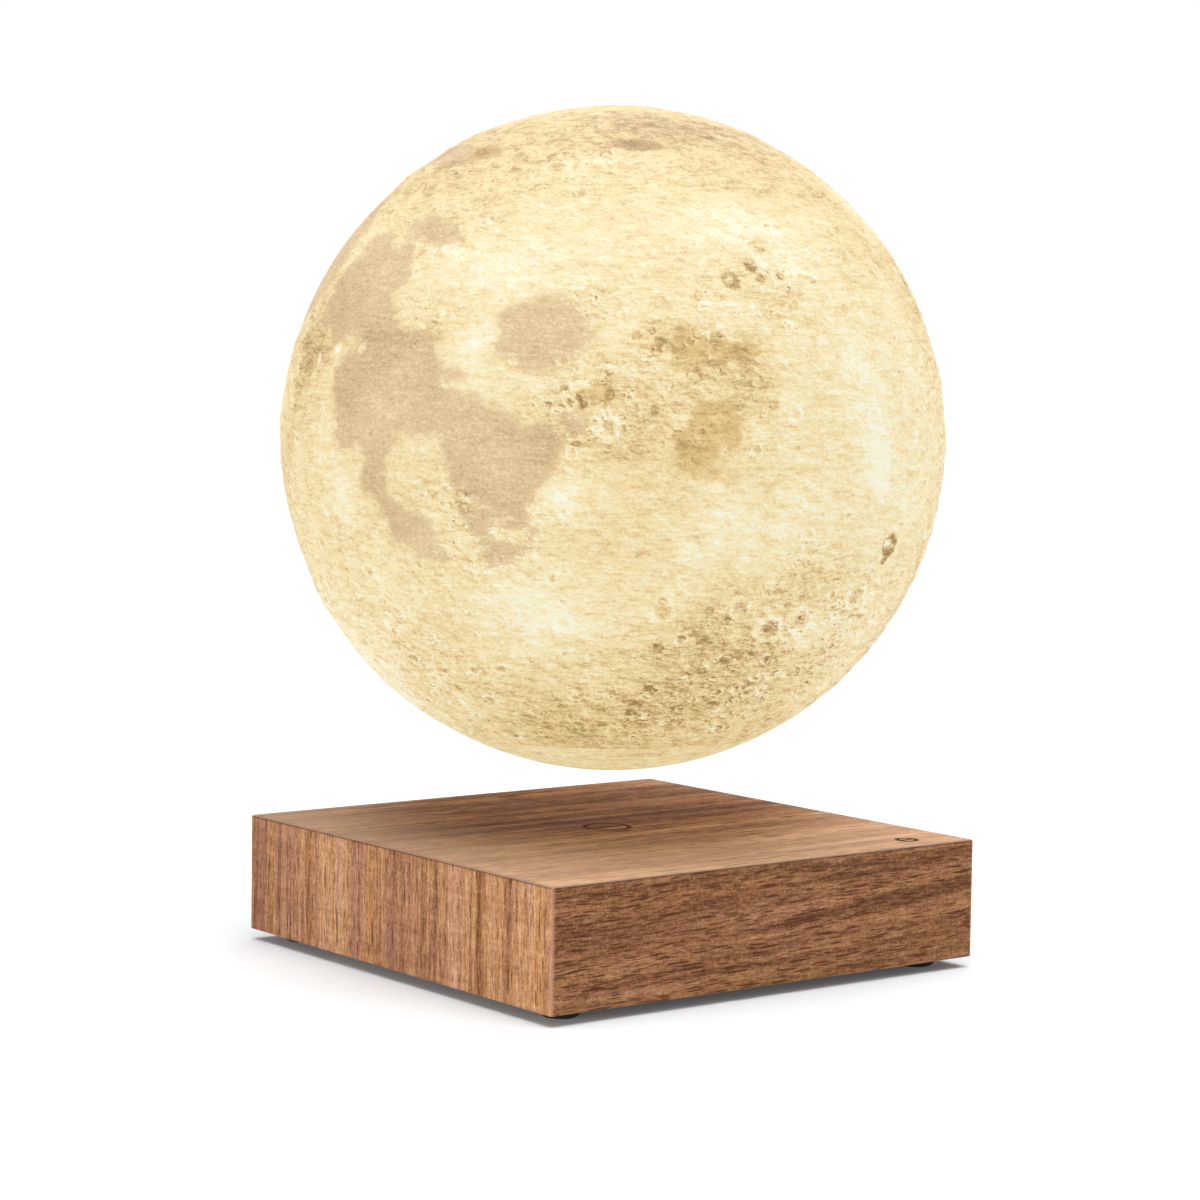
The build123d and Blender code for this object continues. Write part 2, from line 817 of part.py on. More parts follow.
def cap_profile():
    """The cap's section: dish, rim, spigot and the cup for the magnet, as edges that close."""
    turns = [
        (0, moon_centre - math.sqrt(moon_radius**2 - flat_radius**2)),
        (flat_radius, sphere_bottom(moon_radius, flat_radius)),
    ]
    rim = [
        (cap_radius, sphere_bottom(moon_radius, cap_radius)),
        (cap_radius, cap_rim_top),
        (spigot_outer, cap_rim_top),
        (spigot_outer, spigot_top),
        (spigot_inner, spigot_top),
        (spigot_inner, sphere_bottom(cap_inside, spigot_inner)),
    ]
    cup = [
        (cup_outer, sphere_bottom(cap_inside, cup_outer)),
        (cup_outer, cup_top),
        (cup_inner, cup_top),
        (cup_inner, cup_floor),
        (0, cup_floor),
        turns[0],
    ]
    return [
        Line(*turns),
        sphere_arc(moon_radius, flat_radius, cap_radius),
        Polyline(*rim),
        sphere_arc(cap_inside, spigot_inner, cup_outer),
        Polyline(*cup),
    ]


def bottom_cap():
    """The moulded cap that closes the moon: ribs under the coil, and bosses for the board of lights."""
    cap = turned(cap_profile())
    inside = moon_ball(moon_radius - cap_wall / 2)
    low = cup_floor - cap_wall
    middle = (cup_outer + spigot_inner) / 2
    reach = spigot_inner - cup_outer + spigot_wall
    for _, _, angle in around(rib_count, middle):
        rib = block(reach, rib_thickness, low, rib_top, (middle, 0))
        cap += Rot(0, 0, angle) * rib & inside
    pilot_bottom = light_board_top - light_screw_length - slip_gap
    for x, y, _ in around(cap_boss_count, cap_boss_orbit, 90):
        cap += disc(cap_boss_radius, low, lid_top, (x, y)) & inside
        cap -= disc(light_screw_radius + fit_gap, pilot_bottom, lid_top + overcut, (x, y))
    return cap - disc(cup_inner, cup_floor, lid_top + overcut)


def float_magnet():
    """The disc magnet that the base holds up."""
    return disc(magnet_radius, magnet_bottom, magnet_top)


def magnet_lid():
    """The disc that closes the magnet's cup, notched for the bosses."""
    lid = disc(cup_outer, cup_top, lid_top)
    for x, y, _ in around(cap_boss_count, cap_boss_orbit, 90):
        lid -= disc(cap_boss_radius + slip_gap, cup_top - overcut, lid_top + overcut, (x, y))
    return lid


def receiving_coil():
    """The flat coil on the ribs, which takes power from the base."""
    return hoop(receiver_outer, receiver_inner, rib_top, receiver_top)


def ferrite_ring():
    """The ferrite sheet over the receiving coil."""
    top = receiver_top + ferrite_thickness
    return hoop(receiver_outer, receiver_inner + ferrite_inset, receiver_top, top)


def light_board():
    """The round board that carries the lights."""
    board = disc(light_board_radius, lid_top, light_board_top)
    hole_radius = light_screw_radius + screw_clearance
    for x, y, _ in around(cap_boss_count, cap_boss_orbit, 90):
        board -= disc(hole_radius, lid_top - overcut, light_board_top + overcut, (x, y))
    return board


def light_screws():
    """Screws that hold the board of lights to the cap's bosses."""
    screws = []
    head_top = light_board_top + light_screw_head_height
    for x, y, _ in around(cap_boss_count, cap_boss_orbit, 90):
        shank = disc(light_screw_radius, light_board_top - light_screw_length, light_board_top, (x, y))
        head = disc(light_screw_head_radius, light_board_top, head_top, (x, y))
        screws.append(shank + head - cross_recess(head_top, -1, (x, y)))
    return group(screws)


def lights():
    """Warm white lights in a ring, with one in the middle."""
    top = light_board_top + light_height
    chips = [block(light_size, light_size, light_board_top, top)]
    for x, y, angle in around(light_count, light_orbit):
        chips.append(Pos(x, y, 0) * Rot(0, 0, angle) * block(light_size, light_size, light_board_top, top))
    return group(chips)


def receiver_chips():
    """The rectifier and the regulator on the board of lights."""
    top = light_board_top + receiver_chip_height
    chip = block(receiver_chip_width, receiver_chip_length, light_board_top, top, (receiver_part_orbit, 0))
    return group(Rot(0, 0, 90 + turn * receiver_part_angle) * chip for turn in (-1, 1))


def receiver_capacitors():
    """Two capacitors opposite the chips."""
    top = light_board_top + receiver_capacitor_height
    angles = [-90 - receiver_capacitor_spread, -90 + receiver_capacitor_spread]
    places = [on_ray(receiver_part_orbit, 0, angle)[:2] for angle in angles]
    return group(disc(receiver_capacitor_radius, light_board_top, top, place) for place in places)


def receiver_leads():
    """The two ends of the receiving coil, which stand up to the board of lights."""
    reach = receiver_inner + ferrite_inset / 2
    places = [on_ray(reach, 0, way * receiver_lead_spread / 2)[:2] for way in (-1, 1)]
    return group(disc(receiver_lead_diameter / 2, receiver_top, lid_top, place) for place in places)


sub_parts = {
    "top_panel": top_panel,
    "front_panel": side_panel,
    "right_panel": lambda: Rot(0, 0, 90) * side_panel(),
    "back_panel": back_panel,
    "left_panel": lambda: Rot(0, 0, -90) * side_panel(),
    "corner_blocks": corner_blocks,
    "bottom_plate": bottom_plate,
    "plate_screws": plate_screws,
    "rubber_feet": rubber_feet,
    "tray_screws": tray_screws,
    "control_board": control_board,
    "board_capacitors": board_capacitors,
    "board_inductor": board_inductor,
    "driver_chips": driver_chips,
    "control_chip": control_chip,
    "small_parts": small_parts,
    "board_connectors": board_connectors,
    "socket_body": socket_body,
    "socket_pin": socket_pin,
    "socket_leaf": socket_leaf,
    "drive_tray": drive_tray,
    "yoke_plate": yoke_plate,
    "ring_magnet": ring_magnet,
    "coil_bobbins": coil_bobbins,
    "coil_windings": coil_windings,
    "coil_cores": coil_cores,
    "sensor_board": sensor_board,
    "field_sensors": field_sensors,
    "coil_carrier": coil_carrier,
    "sending_coil": sending_coil,
    "touch_pad": touch_pad,
    "magnet_lead": magnet_lead,
    "sender_lead": sender_lead,
    "touch_lead": touch_lead,
    "moon_shell": moon_shell,
    "mouth_ring": mouth_ring,
    "bottom_cap": bottom_cap,
    "float_magnet": float_magnet,
    "magnet_lid": magnet_lid,
    "receiving_coil": receiving_coil,
    "ferrite_ring": ferrite_ring,
    "receiver_leads": receiver_leads,
    "light_board": light_board,
    "light_screws": light_screws,
    "lights": lights,
    "receiver_chips": receiver_chips,
    "receiver_capacitors": receiver_capacitors,
}

for name, make in sub_parts.items():
    export_step(make(), f"parts/{name}.step")
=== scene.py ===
"""The looks of a moon lamp: a printed moon, lit from inside, that floats over a walnut base.

The moon's sheet of relief follows the real moon: north is up, and its seas and craters are placed by their
latitude and longitude. Lengths in the tables and in the materials are millimetres, and angles are degrees.
"""

import json
import math

import bmesh
import bpy
import numpy as np
from mathutils import Matrix, Vector


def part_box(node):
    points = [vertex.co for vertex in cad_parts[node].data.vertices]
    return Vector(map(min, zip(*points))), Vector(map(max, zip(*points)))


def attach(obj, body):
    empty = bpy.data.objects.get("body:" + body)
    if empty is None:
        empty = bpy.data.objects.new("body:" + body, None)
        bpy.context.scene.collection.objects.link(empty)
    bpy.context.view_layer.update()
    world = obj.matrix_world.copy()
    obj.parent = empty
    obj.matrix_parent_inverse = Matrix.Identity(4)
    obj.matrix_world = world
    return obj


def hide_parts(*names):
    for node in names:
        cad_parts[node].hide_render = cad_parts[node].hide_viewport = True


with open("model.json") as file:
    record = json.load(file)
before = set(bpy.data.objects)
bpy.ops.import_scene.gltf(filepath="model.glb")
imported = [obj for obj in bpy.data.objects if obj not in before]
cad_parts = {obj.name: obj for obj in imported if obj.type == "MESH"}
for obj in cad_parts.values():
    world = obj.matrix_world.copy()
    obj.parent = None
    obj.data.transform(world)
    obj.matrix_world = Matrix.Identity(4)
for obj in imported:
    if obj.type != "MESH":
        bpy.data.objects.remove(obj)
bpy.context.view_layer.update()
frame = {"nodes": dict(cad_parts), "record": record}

MM = 0.001

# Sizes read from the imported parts
case_corner = Vector(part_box("top_panel")[1])
shell_corner = Vector(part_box("moon_shell")[1])
CASE_HALF = case_corner.x
CASE_TOP = case_corner.z
MOON_RADIUS = 90 * MM
MOON_CENTRE = Vector((0, 0, shell_corner.z - MOON_RADIUS))
SHELL_WALL = 1.4 * MM
MOUTH_RADIUS = 42 * MM


# Node trees


class Sheet:
    """A node tree with a short call for each kind of node."""

    def __init__(self, tree):
        self.tree = tree

    def put(self, socket, value):
        """Links a socket to another, or sets its value."""
        if isinstance(value, bpy.types.NodeSocket):
            self.tree.links.new(value, socket)
        else:
            socket.default_value = value

    def add(self, kind, inputs=(), **settings):
        """Adds a node, with its settings and with its inputs by name or number."""
        node = self.tree.nodes.new(kind)
        for name, value in settings.items():
            setattr(node, name, value)
        for socket, value in dict(inputs).items():
            self.put(node.inputs[socket], value)
        return node

    def calc(self, operation, *values):
        """An operation on numbers."""
        return self.add("ShaderNodeMath", dict(enumerate(values)), operation=operation).outputs[0]

    def times(self, first, second):
        """The product of two numbers."""
        return self.calc("MULTIPLY", first, second)

    def minus(self, first, second):
        """The first number less the second."""
        return self.calc("SUBTRACT", first, second)

    def gap(self, first, second):
        """How far apart two numbers are."""
        return self.calc("ABSOLUTE", self.minus(first, second))

    def scaled(self, value, factor, more):
        """A number times a factor, plus another number."""
        return self.calc("MULTIPLY_ADD", value, factor, more)

    def around(self, value, amount):
        """Moves a noise from 0..1 to plus or minus half the amount."""
        return self.scaled(value, amount, -amount / 2)

    def total(self, *values):
        """The sum of several numbers."""
        result = values[0]
        for value in values[1:]:
            result = self.calc("ADD", result, value)
        return result

    def step(self, value, low, high, start=0.0, end=1.0):
        """Goes smoothly from start to end as the value goes from low to high."""
        inputs = {"Value": value, "From Min": low, "From Max": high, "To Min": start, "To Max": end}
        return self.add("ShaderNodeMapRange", inputs, interpolation_type="SMOOTHSTEP").outputs["Result"]

    def vector(self, operation, *values):
        """An operation on vectors that gives a vector."""
        return self.add("ShaderNodeVectorMath", dict(enumerate(values)), operation=operation).outputs[0]

    def resized(self, value, amount):
        """A vector made longer or shorter."""
        return self.add("ShaderNodeVectorMath", {0: value, "Scale": amount}, operation="SCALE").outputs[0]

    def length(self, value):
        """The length of a vector."""
        return self.add("ShaderNodeVectorMath", {0: value}, operation="LENGTH").outputs["Value"]

    def from_axis(self, place):
        """How far a place is from the upright axis."""
        return self.length(self.vector("MULTIPLY", place, (1, 1, 0)))

    def apart(self, value):
        """The three numbers of a vector."""
        return self.add("ShaderNodeSeparateXYZ", {0: value}).outputs[:]

    def joined(self, x, y, z):
        """A vector from three numbers."""
        return self.add("ShaderNodeCombineXYZ", {0: x, 1: y, 2: z}).outputs[0]

    def noise(self, place, scale, detail, roughness):
        """Fractal noise from 0 to 1. Three numbers as its scale stretch it."""
        if isinstance(scale, tuple):
            place, scale = self.vector("MULTIPLY", place, scale), 1.0
        inputs = {"Vector": place, "Scale": scale, "Detail": detail, "Roughness": roughness}
        return self.add("ShaderNodeTexNoise", inputs).outputs["Fac"]

    def swing(self, noises, amounts):
        """The sum of several noises, each moved to plus or minus half its amount."""
        return self.total(*(self.around(noises[name], amount) for name, amount in amounts.items()))

    def cells(self, place, scale=1.0):
        """Scattered points: the distance to the nearest, and a random colour for each."""
        node = self.add("ShaderNodeTexVoronoi", {"Vector": place, "Scale": scale})
        return node.outputs["Distance"], node.outputs["Color"]

    def mix(self, factor, first, second, blend_type="MIX"):
        """A colour between two colours."""
        settings = {"data_type": "RGBA", "blend_type": blend_type}
        return self.add("ShaderNodeMix", {0: factor, 6: first, 7: second}, **settings).outputs[2]

    def tinted(self, first, second):
        """One colour times another."""
        return self.mix(1.0, first, second, "MULTIPLY")

    def ramp(self, value, stops):
        """A colour from a ramp of places, each with its screen colour."""
        node = self.add("ShaderNodeValToRGB", {0: value})
        elements = node.color_ramp.elements
        while len(elements) < len(stops):
            elements.new(0.5)
        for element, (place, shade) in zip(elements, stops.items()):
            element.position = place
            element.color = colour(*shade)
        return node.outputs["Color"]


def colour(red, green, blue):
    """A colour from its 0 to 255 screen values."""
    linear = [((v / 255 + 0.055) / 1.055) ** 2.4 if v > 10 else v / 255 / 12.92 for v in (red, green, blue)]
    return (*linear, 1.0)


# A place and a colour to start from. The size of a group input's start value tells the kind of its socket
ORIGIN = (0, 0, 0)
WHITE = (1, 1, 1, 1)
SOCKETS = {1: "NodeSocketFloat", len(ORIGIN): "NodeSocketVector", len(WHITE): "NodeSocketColor"}
groups = {}


def group_of(name, inputs, outputs):
    """Starts a shader node group with named inputs, each with its start value, and named outputs."""
    tree = bpy.data.node_groups.new(name, "ShaderNodeTree")
    for label, start in inputs.items():
        kind = SOCKETS[np.size(start)]
        tree.interface.new_socket(label, in_out="INPUT", socket_type=kind).default_value = start
    for label in outputs:
        kind = SOCKETS[len(WHITE) if label == "Colour" else 1]
        tree.interface.new_socket(label, in_out="OUTPUT", socket_type=kind)
    sheet = Sheet(tree)
    groups[name] = tree
    return sheet, sheet.add("NodeGroupInput").outputs, sheet.add("NodeGroupOutput").inputs


def use(sheet, name, **inputs):
    """Places a group in a tree. An input's name is written with _ for a space."""
    node = sheet.add("ShaderNodeGroup", node_tree=groups[name])
    for label, value in inputs.items():
        sheet.put(node.inputs[label.replace("_", " ").capitalize()], value)
    return node.outputs


def chain(sheet, name, rows, before=0.0, **shared):
    """Places a group once for each row of inputs, each adding its own to what the one before it gives."""
    for row in rows:
        before = use(sheet, name, before=before, **row, **shared)["After"]
    return before


def empty_sheet(owner):
    """The emptied node tree of a material or of the world."""
    owner.use_nodes = True
    owner.node_tree.nodes.clear()
    return Sheet(owner.node_tree)


def material_of(name, roughness=0.5, metallic=0.0, **constants):
    """Starts a material and gives its tree, its shader and the place on the piece in millimetres."""
    material = bpy.data.materials.new(name)
    sheet = empty_sheet(material)
    shader = sheet.add("ShaderNodeBsdfPrincipled", {"Roughness": roughness, "Metallic": metallic})
    for label, value in constants.items():
        shader.inputs[label.replace("_", " ")].default_value = value
    sheet.add("ShaderNodeOutputMaterial", {"Surface": shader.outputs[0]})
    place = sheet.resized(sheet.add("ShaderNodeTexCoord").outputs["Object"], 1 / MM)
    return material, sheet, shader.inputs, place


def bump(sheet, shader, height, distance, strength=1.0):
    """Feeds a height from 0 to 1 to the shader's normal. The distance is in millimetres."""
    inputs = {"Strength": strength, "Distance": distance * MM, "Height": height}
    sheet.put(shader["Normal"], sheet.add("ShaderNodeBump", inputs).outputs["Normal"])


# The moon's map, in degrees of latitude and longitude

MERIDIAN = 162.7  # how far round from +X longitude zero lies

# Shores of the seas on the side that faces the front: latitude and longitude of each point, going round
SHORES = {
    "serenity_to_nectar": [
        (36.8, 12.5), (35.0, 20.0), (33.8, 24.0), (32.7, 27.0), (29.5, 28.6), (27.0, 29.5), (24.8, 26.5),
        (21.5, 28.3), (18.6, 30.5), (18.5, 33.0), (18.8, 38.0), (19.8, 39.6), (17.0, 38.4), (13.3, 39.2),
        (12.4, 41.5), (11.6, 45.0), (10.8, 44.5), (10.6, 41.0), (9.6, 44.0), (8.8, 47.0), (7.3, 48.8),
        (6.0, 52.0), (4.8, 53.7), (3.9, 55.6), (4.6, 59.7), (3.0, 61.3), (0.2, 61.8), (-3.0, 61.0),
        (-4.7, 58.4), (-7.0, 57.7), (-9.3, 57.0), (-11.7, 56.2), (-14.3, 56.5), (-16.0, 56.3), (-17.0, 53.0),
        (-19.3, 49.5), (-17.4, 47.3), (-14.5, 48.5), (-12.3, 46.0), (-8.7, 44.7), (-7.2, 45.3), (-3.8, 43.0),
        (-2.2, 41.9), (0.8, 42.6), (2.6, 40.5), (1.2, 39.1), (1.8, 35.7), (2.5, 33.6), (2.2, 31.9),
        (0.2, 31.5), (-2.5, 30.2), (-5.8, 30.6), (-8.7, 30.6), (-10.2, 33.0), (-10.5, 36.0), (-11.9, 38.4),
        (-14.0, 39.9), (-17.4, 40.0), (-19.0, 38.0), (-19.5, 34.8), (-17.5, 34.6), (-15.6, 31.5),
        (-12.8, 30.2), (-10.0, 28.6), (-8.5, 26.8), (-7.6, 23.6), (-4.6, 25.0), (-2.2, 26.2), (-0.8, 25.0),
        (-0.3, 20.5), (1.5, 17.9), (3.8, 18.0), (6.5, 16.8), (9.2, 16.6), (11.9, 15.8), (14.6, 18.2),
        (16.2, 23.0), (16.8, 18.5), (16.7, 14.2), (18.9, 10.5), (20.2, 5.8), (23.2, 4.8), (26.5, 4.6),
        (28.1, 4.8), (30.3, 6.8), (32.0, 9.3), (34.5, 9.6),
    ],
    "crises": [
        (21.2, 49.6), (22.8, 50.6), (23.6, 53.0), (24.5, 55.0), (25.0, 57.2), (24.6, 59.8), (23.4, 62.0),
        (22.2, 64.0), (20.5, 66.6), (18.6, 67.1), (16.7, 66.8), (15.5, 63.5), (14.4, 63.1), (13.3, 61.3),
        (12.2, 58.6), (11.9, 56.0), (12.4, 54.4), (13.8, 52.9), (14.8, 50.4), (16.4, 49.9), (18.9, 49.7),
    ],
    "lake_of_dreams": [
        (39.5, 22.0), (39.8, 30.0), (38.0, 36.5), (34.8, 38.5), (33.6, 33.0), (35.0, 27.0), (36.5, 21.0),
    ],
    "spumans": [(5.0, 61.8), (4.8, 65.0), (3.6, 65.3), (2.2, 64.8), (2.6, 62.6)],
}

# Darker, browner ground with its own ragged edge, traced in the same way
MARSHES = {
    "border": [
        (20.8, 80.5), (20.2, 83.5), (18.0, 85.0), (17.6, 90.0), (16.5, 94.5), (14.6, 95.2), (13.6, 92.0),
        (13.8, 86.0), (13.6, 79.5), (17.0, 79.2),
    ],
    "border_south": [
        (7.5, 83.0), (8.0, 86.0), (7.5, 90.0), (1.0, 90.6), (0.6, 87.0), (-1.0, 86.5), (-2.5, 87.0),
        (-4.1, 87.0), (-3.8, 82.5), (-2.0, 80.2), (2.0, 79.8), (4.0, 81.0),
    ],
    "foam": [(11.3, 66.5), (10.6, 69.3), (8.2, 70.2), (7.4, 68.6), (7.9, 66.0), (7.2, 64.6), (9.4, 64.0)],
    "north_east": [
        (60.3, 73.0), (61.0, 76.0), (59.8, 80.0), (59.0, 83.5), (57.6, 82.0), (56.8, 77.5), (57.2, 73.0),
        (58.6, 69.5),
    ],
    "cold": [(59.0, 24.0), (57.5, 34.0), (54.5, 33.0), (53.0, 22.0), (51.0, 12.0), (55.0, 8.0)],
}

# Seas without a traced shore: latitude, longitude, half height, half width
SEAS = (
    # West of the traced ones
    (57, 2, 3.4, 12), (57, -30, 3.6, 14), (34, -17, 16, 17), (22, -22, 8, 14), (8, -30, 9, 12),
    (38, -55, 18, 12), (18, -56, 18, 14), (-4, -48, 14, 13), (-11, -23, 6, 8), (-20, -16, 9, 9),
    (-24, -39, 6, 6),
    # On the far side
    (27, 160, 4.2, 5), (-34, 164, 4, 4.6), (-19, -95, 5.4, 5), (-52, 178, 7, 9), (-37, -152, 3.4, 4),
)

# Bright bays and isles that bite into the seas, written in the same way
BAYS = (
    # West
    (15, -24, 1.6, 7), (10, -20, 3, 3), (24, -47, 2.6, 2.6), (8, -38, 2, 2),
    # In the traced seas
    (-13.4, 55.0, 1.5, 4.6), (-8.6, 45.6, 1.0, 1.5), (20.6, 33.4, 1.0, 2.2),
)

# Broad lighter (+) and darker (-) stretches: latitude, longitude, half height, half width, amount
TONES = (
    # Bright ground between and round the middle seas
    (31, 47, 6.5, 13, 0.7), (37, 84, 5, 14, 0.35), (16, 46.5, 6, 3.2, 0.8), (10, 54, 2.5, 5, 0.3),
    # Bright rays in the north east
    (39, 98, 5, 7, 0.45), (33, 108, 7, 8, 0.4), (22.5, 87, 2.2, 5, 0.5),
    # Bright ground in the south
    (-7.2, 62, 2.8, 3.2, 0.8), (-17, 57.5, 2, 2.5, 0.35), (-27, 57, 7, 11, 0.7), (-21, 25, 6, 5, 0.4),
    (-9, 19, 5, 4, 0.4), (-12, 92, 6, 9, 0.4), (-23, 81, 2.5, 4.5, 0.45),
    # Bright ground in the east
    (3, 118.5, 10, 4.5, 0.6), (-4, 118.5, 4, 4, 0.35), (16, 113, 6, 5, 0.4), (16.7, 124, 1.6, 1.6, 0.4),
    (8, 98.5, 2, 2, 0.35), (3, 93.5, 1.5, 1.6, 0.4), (0, 132, 25, 8, 0.35), (8, 112, 22, 16, 0.3),
    (-14, 106, 9, 18, 0.3), (-31, 110, 4, 5, 0.45),
    # Rays of the large western craters, and the far side
    (-43, -11, 14, 15, 0.7), (8, -38, 7, 7, 0.5), (10, -20, 8, 8, 0.6), (24, -47, 7, 7, 0.6),
    (42, 170, 14, 20, 0.3), (0, -150, 18, 22, 0.3),
    # Between the seas and the marshes
    (9, 44, 2, 4, 0.25), (12.5, 93, 5, 3.5, -0.5), (8.5, 93.5, 3.5, 3, -0.45), (11, 86, 3, 6, -0.3),
    (-2, 83, 3, 4, -0.15), (4, 73, 6, 8, -0.42), (-13, 52, 5, 6, 0.5), (-2, 76, 3, 5, -0.12),
    # Tan ground in the east
    (14, 107.5, 2, 2, -0.3), (-2, 112.5, 4, 3, -0.28), (-7, 116.5, 2.5, 2.2, -0.35), (25, 96, 4, 6, -0.2),
    (-17, 108, 6, 6, -0.22), (-25, 106, 5, 8, -0.22),
    # Tan ground in the south
    (-42, 92, 13, 15, -0.52), (-34, 95, 7, 8, -0.3), (-52, 102, 6, 13, -0.3), (-64, 90, 7, 30, -0.4),
    (-50, 64, 7, 11, -0.28), (-42, 34, 8, 14, -0.16), (-35, 19, 2, 3, -0.3),
    # Tan ground in the north, partly painted shade along the top edge of the disc
    (69, 60, 14, 60, -0.62), (58.8, 76, 1.6, 4.5, -0.7), (66, 105, 7, 22, -0.5), (48, 26, 7, 10, -0.22),
    # Painted shade near the edges of the disc as the camera sees it, and round the south pole
    (30, 147.5, 6, 3.5, -0.8), (10, 2, 18, 6, -0.3), (11, 3, 6, 4.5, -0.5), (16.5, 8.5, 4.5, 5, -0.7),
    (2, -11, 30, 6, -0.4), (-38, 150, 16, 8, -0.5), (-80, 0, 14, 30, -0.3),
)

# Stretches with many small pits: latitude, longitude, half height, half width, amount
ROUGH = (
    # Round the marshes
    (8, 66.5, 5, 6.5, 1.0), (23, 66.5, 3.5, 4, 0.9), (16, 85, 6, 9, 0.8), (28, 97, 8, 9, 0.8),
    # South
    (-36, 92, 10, 14, 0.8), (-50, 98, 8, 16, 0.75), (-32, 120, 11, 9, 0.7), (-50, 74, 8, 14, 0.5),
    # Beside the seas
    (-12, 45, 6, 5, 0.8), (-15, 52, 7, 8, 0.6), (5, 66, 6, 8, 0.5),
    # North
    (52, 60, 8, 18, 0.4), (36, 30, 4, 9, 0.9),
    # On the shores, then in the east
    (20, 34, 4, 5, 0.5), (-15, 35, 6, 6, 0.35), (3, 86, 7, 8, 0.6), (-24, 106, 8, 10, 0.6),
    # West and the far side
    (-45, 0, 22, 30, 0.9), (0, 180, 45, 45, 0.8), (0, -130, 45, 30, 0.8),
)

# Single craters: latitude, longitude, radius in millimetres, how dark the ring is, how light (+) the floor is
CRATERS = (
    # North east
    (30.3, 95.5, 1.5, 0.9, -1.0), (28, 90.8, 2.4, 0.9, 0.4), (28.1, 97, 1.4, 0.75, -0.4),
    (28.8, 101.6, 1.4, 0.7, -0.3), (34.6, 97.5, 1.2, 0.65, -0.4), (33.4, 99, 1.1, 0.5, -0.2),
    (26, 105, 1.1, 0.5, -0.3), (23.7, 102.8, 1.3, 0.75, -0.4), (23.3, 114.6, 1.2, 0.7, -0.4),
    (25, 84.4, 1.4, 0.6, 0.0),
    # Round the border marsh
    (18.2, 87, 1.8, 0.95, -1.0), (20, 87.5, 1.7, 0.0, 0.9), (12, 82.7, 2.1, 0.6, 0.35),
    (18.2, 73.5, 1.2, 0.8, -0.4), (18.9, 76, 1.0, 0.7, -0.3), (17.3, 77.4, 1.4, 0.8, -0.4),
    (15.6, 76.6, 1.4, 0.85, -0.3), (7.3, 96.2, 1.3, 0.6, -0.3),
    # Round the foaming marsh
    (6.9, 65, 1.3, 0.85, -0.6), (8.5, 64.6, 1.3, 0.8, -0.3), (8.7, 69.3, 1.4, 0.75, -0.4),
    (7.2, 68.3, 1.1, 0.7, 0.2), (12.3, 69.1, 1.1, 0.65, -0.3), (9.6, 61.9, 1.0, 0.75, -0.5),
    (6.9, 59.7, 0.9, 0.75, -0.5), (4.9, 71.1, 0.9, 0.65, -0.4), (6.3, 76.3, 1.1, 0.55, -0.3),
    (1.0, 64.2, 1.1, 0.6, -0.4), (14.4, 67.6, 1.3, 0.45, -0.2),
    # East: a dark ring with a light middle, its tail and a dot
    (-16.1, 125.6, 3.1, 2.0, 2.2), (-18.6, 125.3, 1.1, 1.5, -1.2), (-28.5, 121.6, 1.0, 0.65, -0.5),
    # South
    (-22, 101, 2.4, 0.6, 0.1), (-24.6, 79, 1.1, 0.8, -0.6), (-26.6, 87.8, 1.5, 0.65, -0.2),
    (-28.4, 91.5, 1.4, 0.6, -0.3), (-30.6, 84.5, 1.9, 0.6, -0.1), (-31.5, 87.1, 2.0, 0.6, 0.1),
    (-33.6, 79.3, 1.5, 0.8, -0.4), (-36, 97.8, 2.5, 0.45, 0.15), (-36, 94, 1.4, 0.6, 0.2),
    (-42.6, 78.7, 1.4, 0.9, -0.7), (-48.9, 75.5, 1.5, 0.9, -0.7), (-46.1, 95.5, 1.7, 0.6, 0.2),
    (-46, 101, 2.0, 0.5, 0.2),
    # Beside the sea of nectar
    (-7.8, 45, 1.8, 0.55, 0.3), (-9.6, 45.4, 1.5, 0.5, 0.2),
    # North
    (54.6, 51, 1.3, 0.85, -0.7), (44.8, 61.5, 1.4, 0.75, -0.5), (42, 47.5, 0.8, 0.55, -0.4),
    # Bright spots
    (-7.3, 61.8, 2.2, 0.0, 0.6), (21.4, 39.2, 0.9, 0.0, 1.0), (16.6, 45.8, 1.4, 0.0, 1.0),
    (25.8, 62.8, 1.1, 0.0, 1.0), (14, 64.4, 1.0, 0.0, 1.0), (15.5, 22.3, 2.2, 0.0, 1.2),
    (15.5, 15.5, 2.4, 0.0, 1.2), (2.8, 17.8, 1.7, 0.0, 1.1), (13.8, 9.0, 2.4, 0.0, 1.2),
    (-16.9, 57.2, 1.4, 0.0, 0.8),
    # West
    (-43, -11, 2.4, 0.6, 0.5), (10, -20, 2.4, 0.5, 0.3), (51.6, -9, 2.0, 0.4, -0.8),
    (-5, -68, 3.0, 0.5, -0.8),
)


def heading(latitude, longitude):
    """The direction from the moon's middle to a place on it."""
    up, turn = math.radians(latitude), math.radians(longitude + MERIDIAN)
    return np.array([math.cos(up) * math.cos(turn), math.cos(up) * math.sin(turn), math.sin(up)])


def offsets(directions, latitude, longitude):
    """Degrees east and north of a place, for each direction. What lies on the far half is far off."""
    centre = heading(latitude, longitude)
    east = np.array([-centre[1], centre[0], 0]) / math.hypot(centre[0], centre[1])
    north = np.cross(centre, east)
    ahead = directions @ centre
    x = np.degrees(np.arctan2(directions @ east, ahead))
    y = np.degrees(np.arctan2(directions @ north, ahead))
    return np.where(ahead > 0, x, 180.0), np.where(ahead > 0, y, 180.0)


def inside_oval(directions, latitude, longitude, half_height, half_width):
    """How many degrees each direction lies inside an oval, less than zero outside it."""
    x, y = offsets(directions, latitude, longitude)
    return (1 - np.hypot(x / half_width, y / half_height)) * min(half_height, half_width)


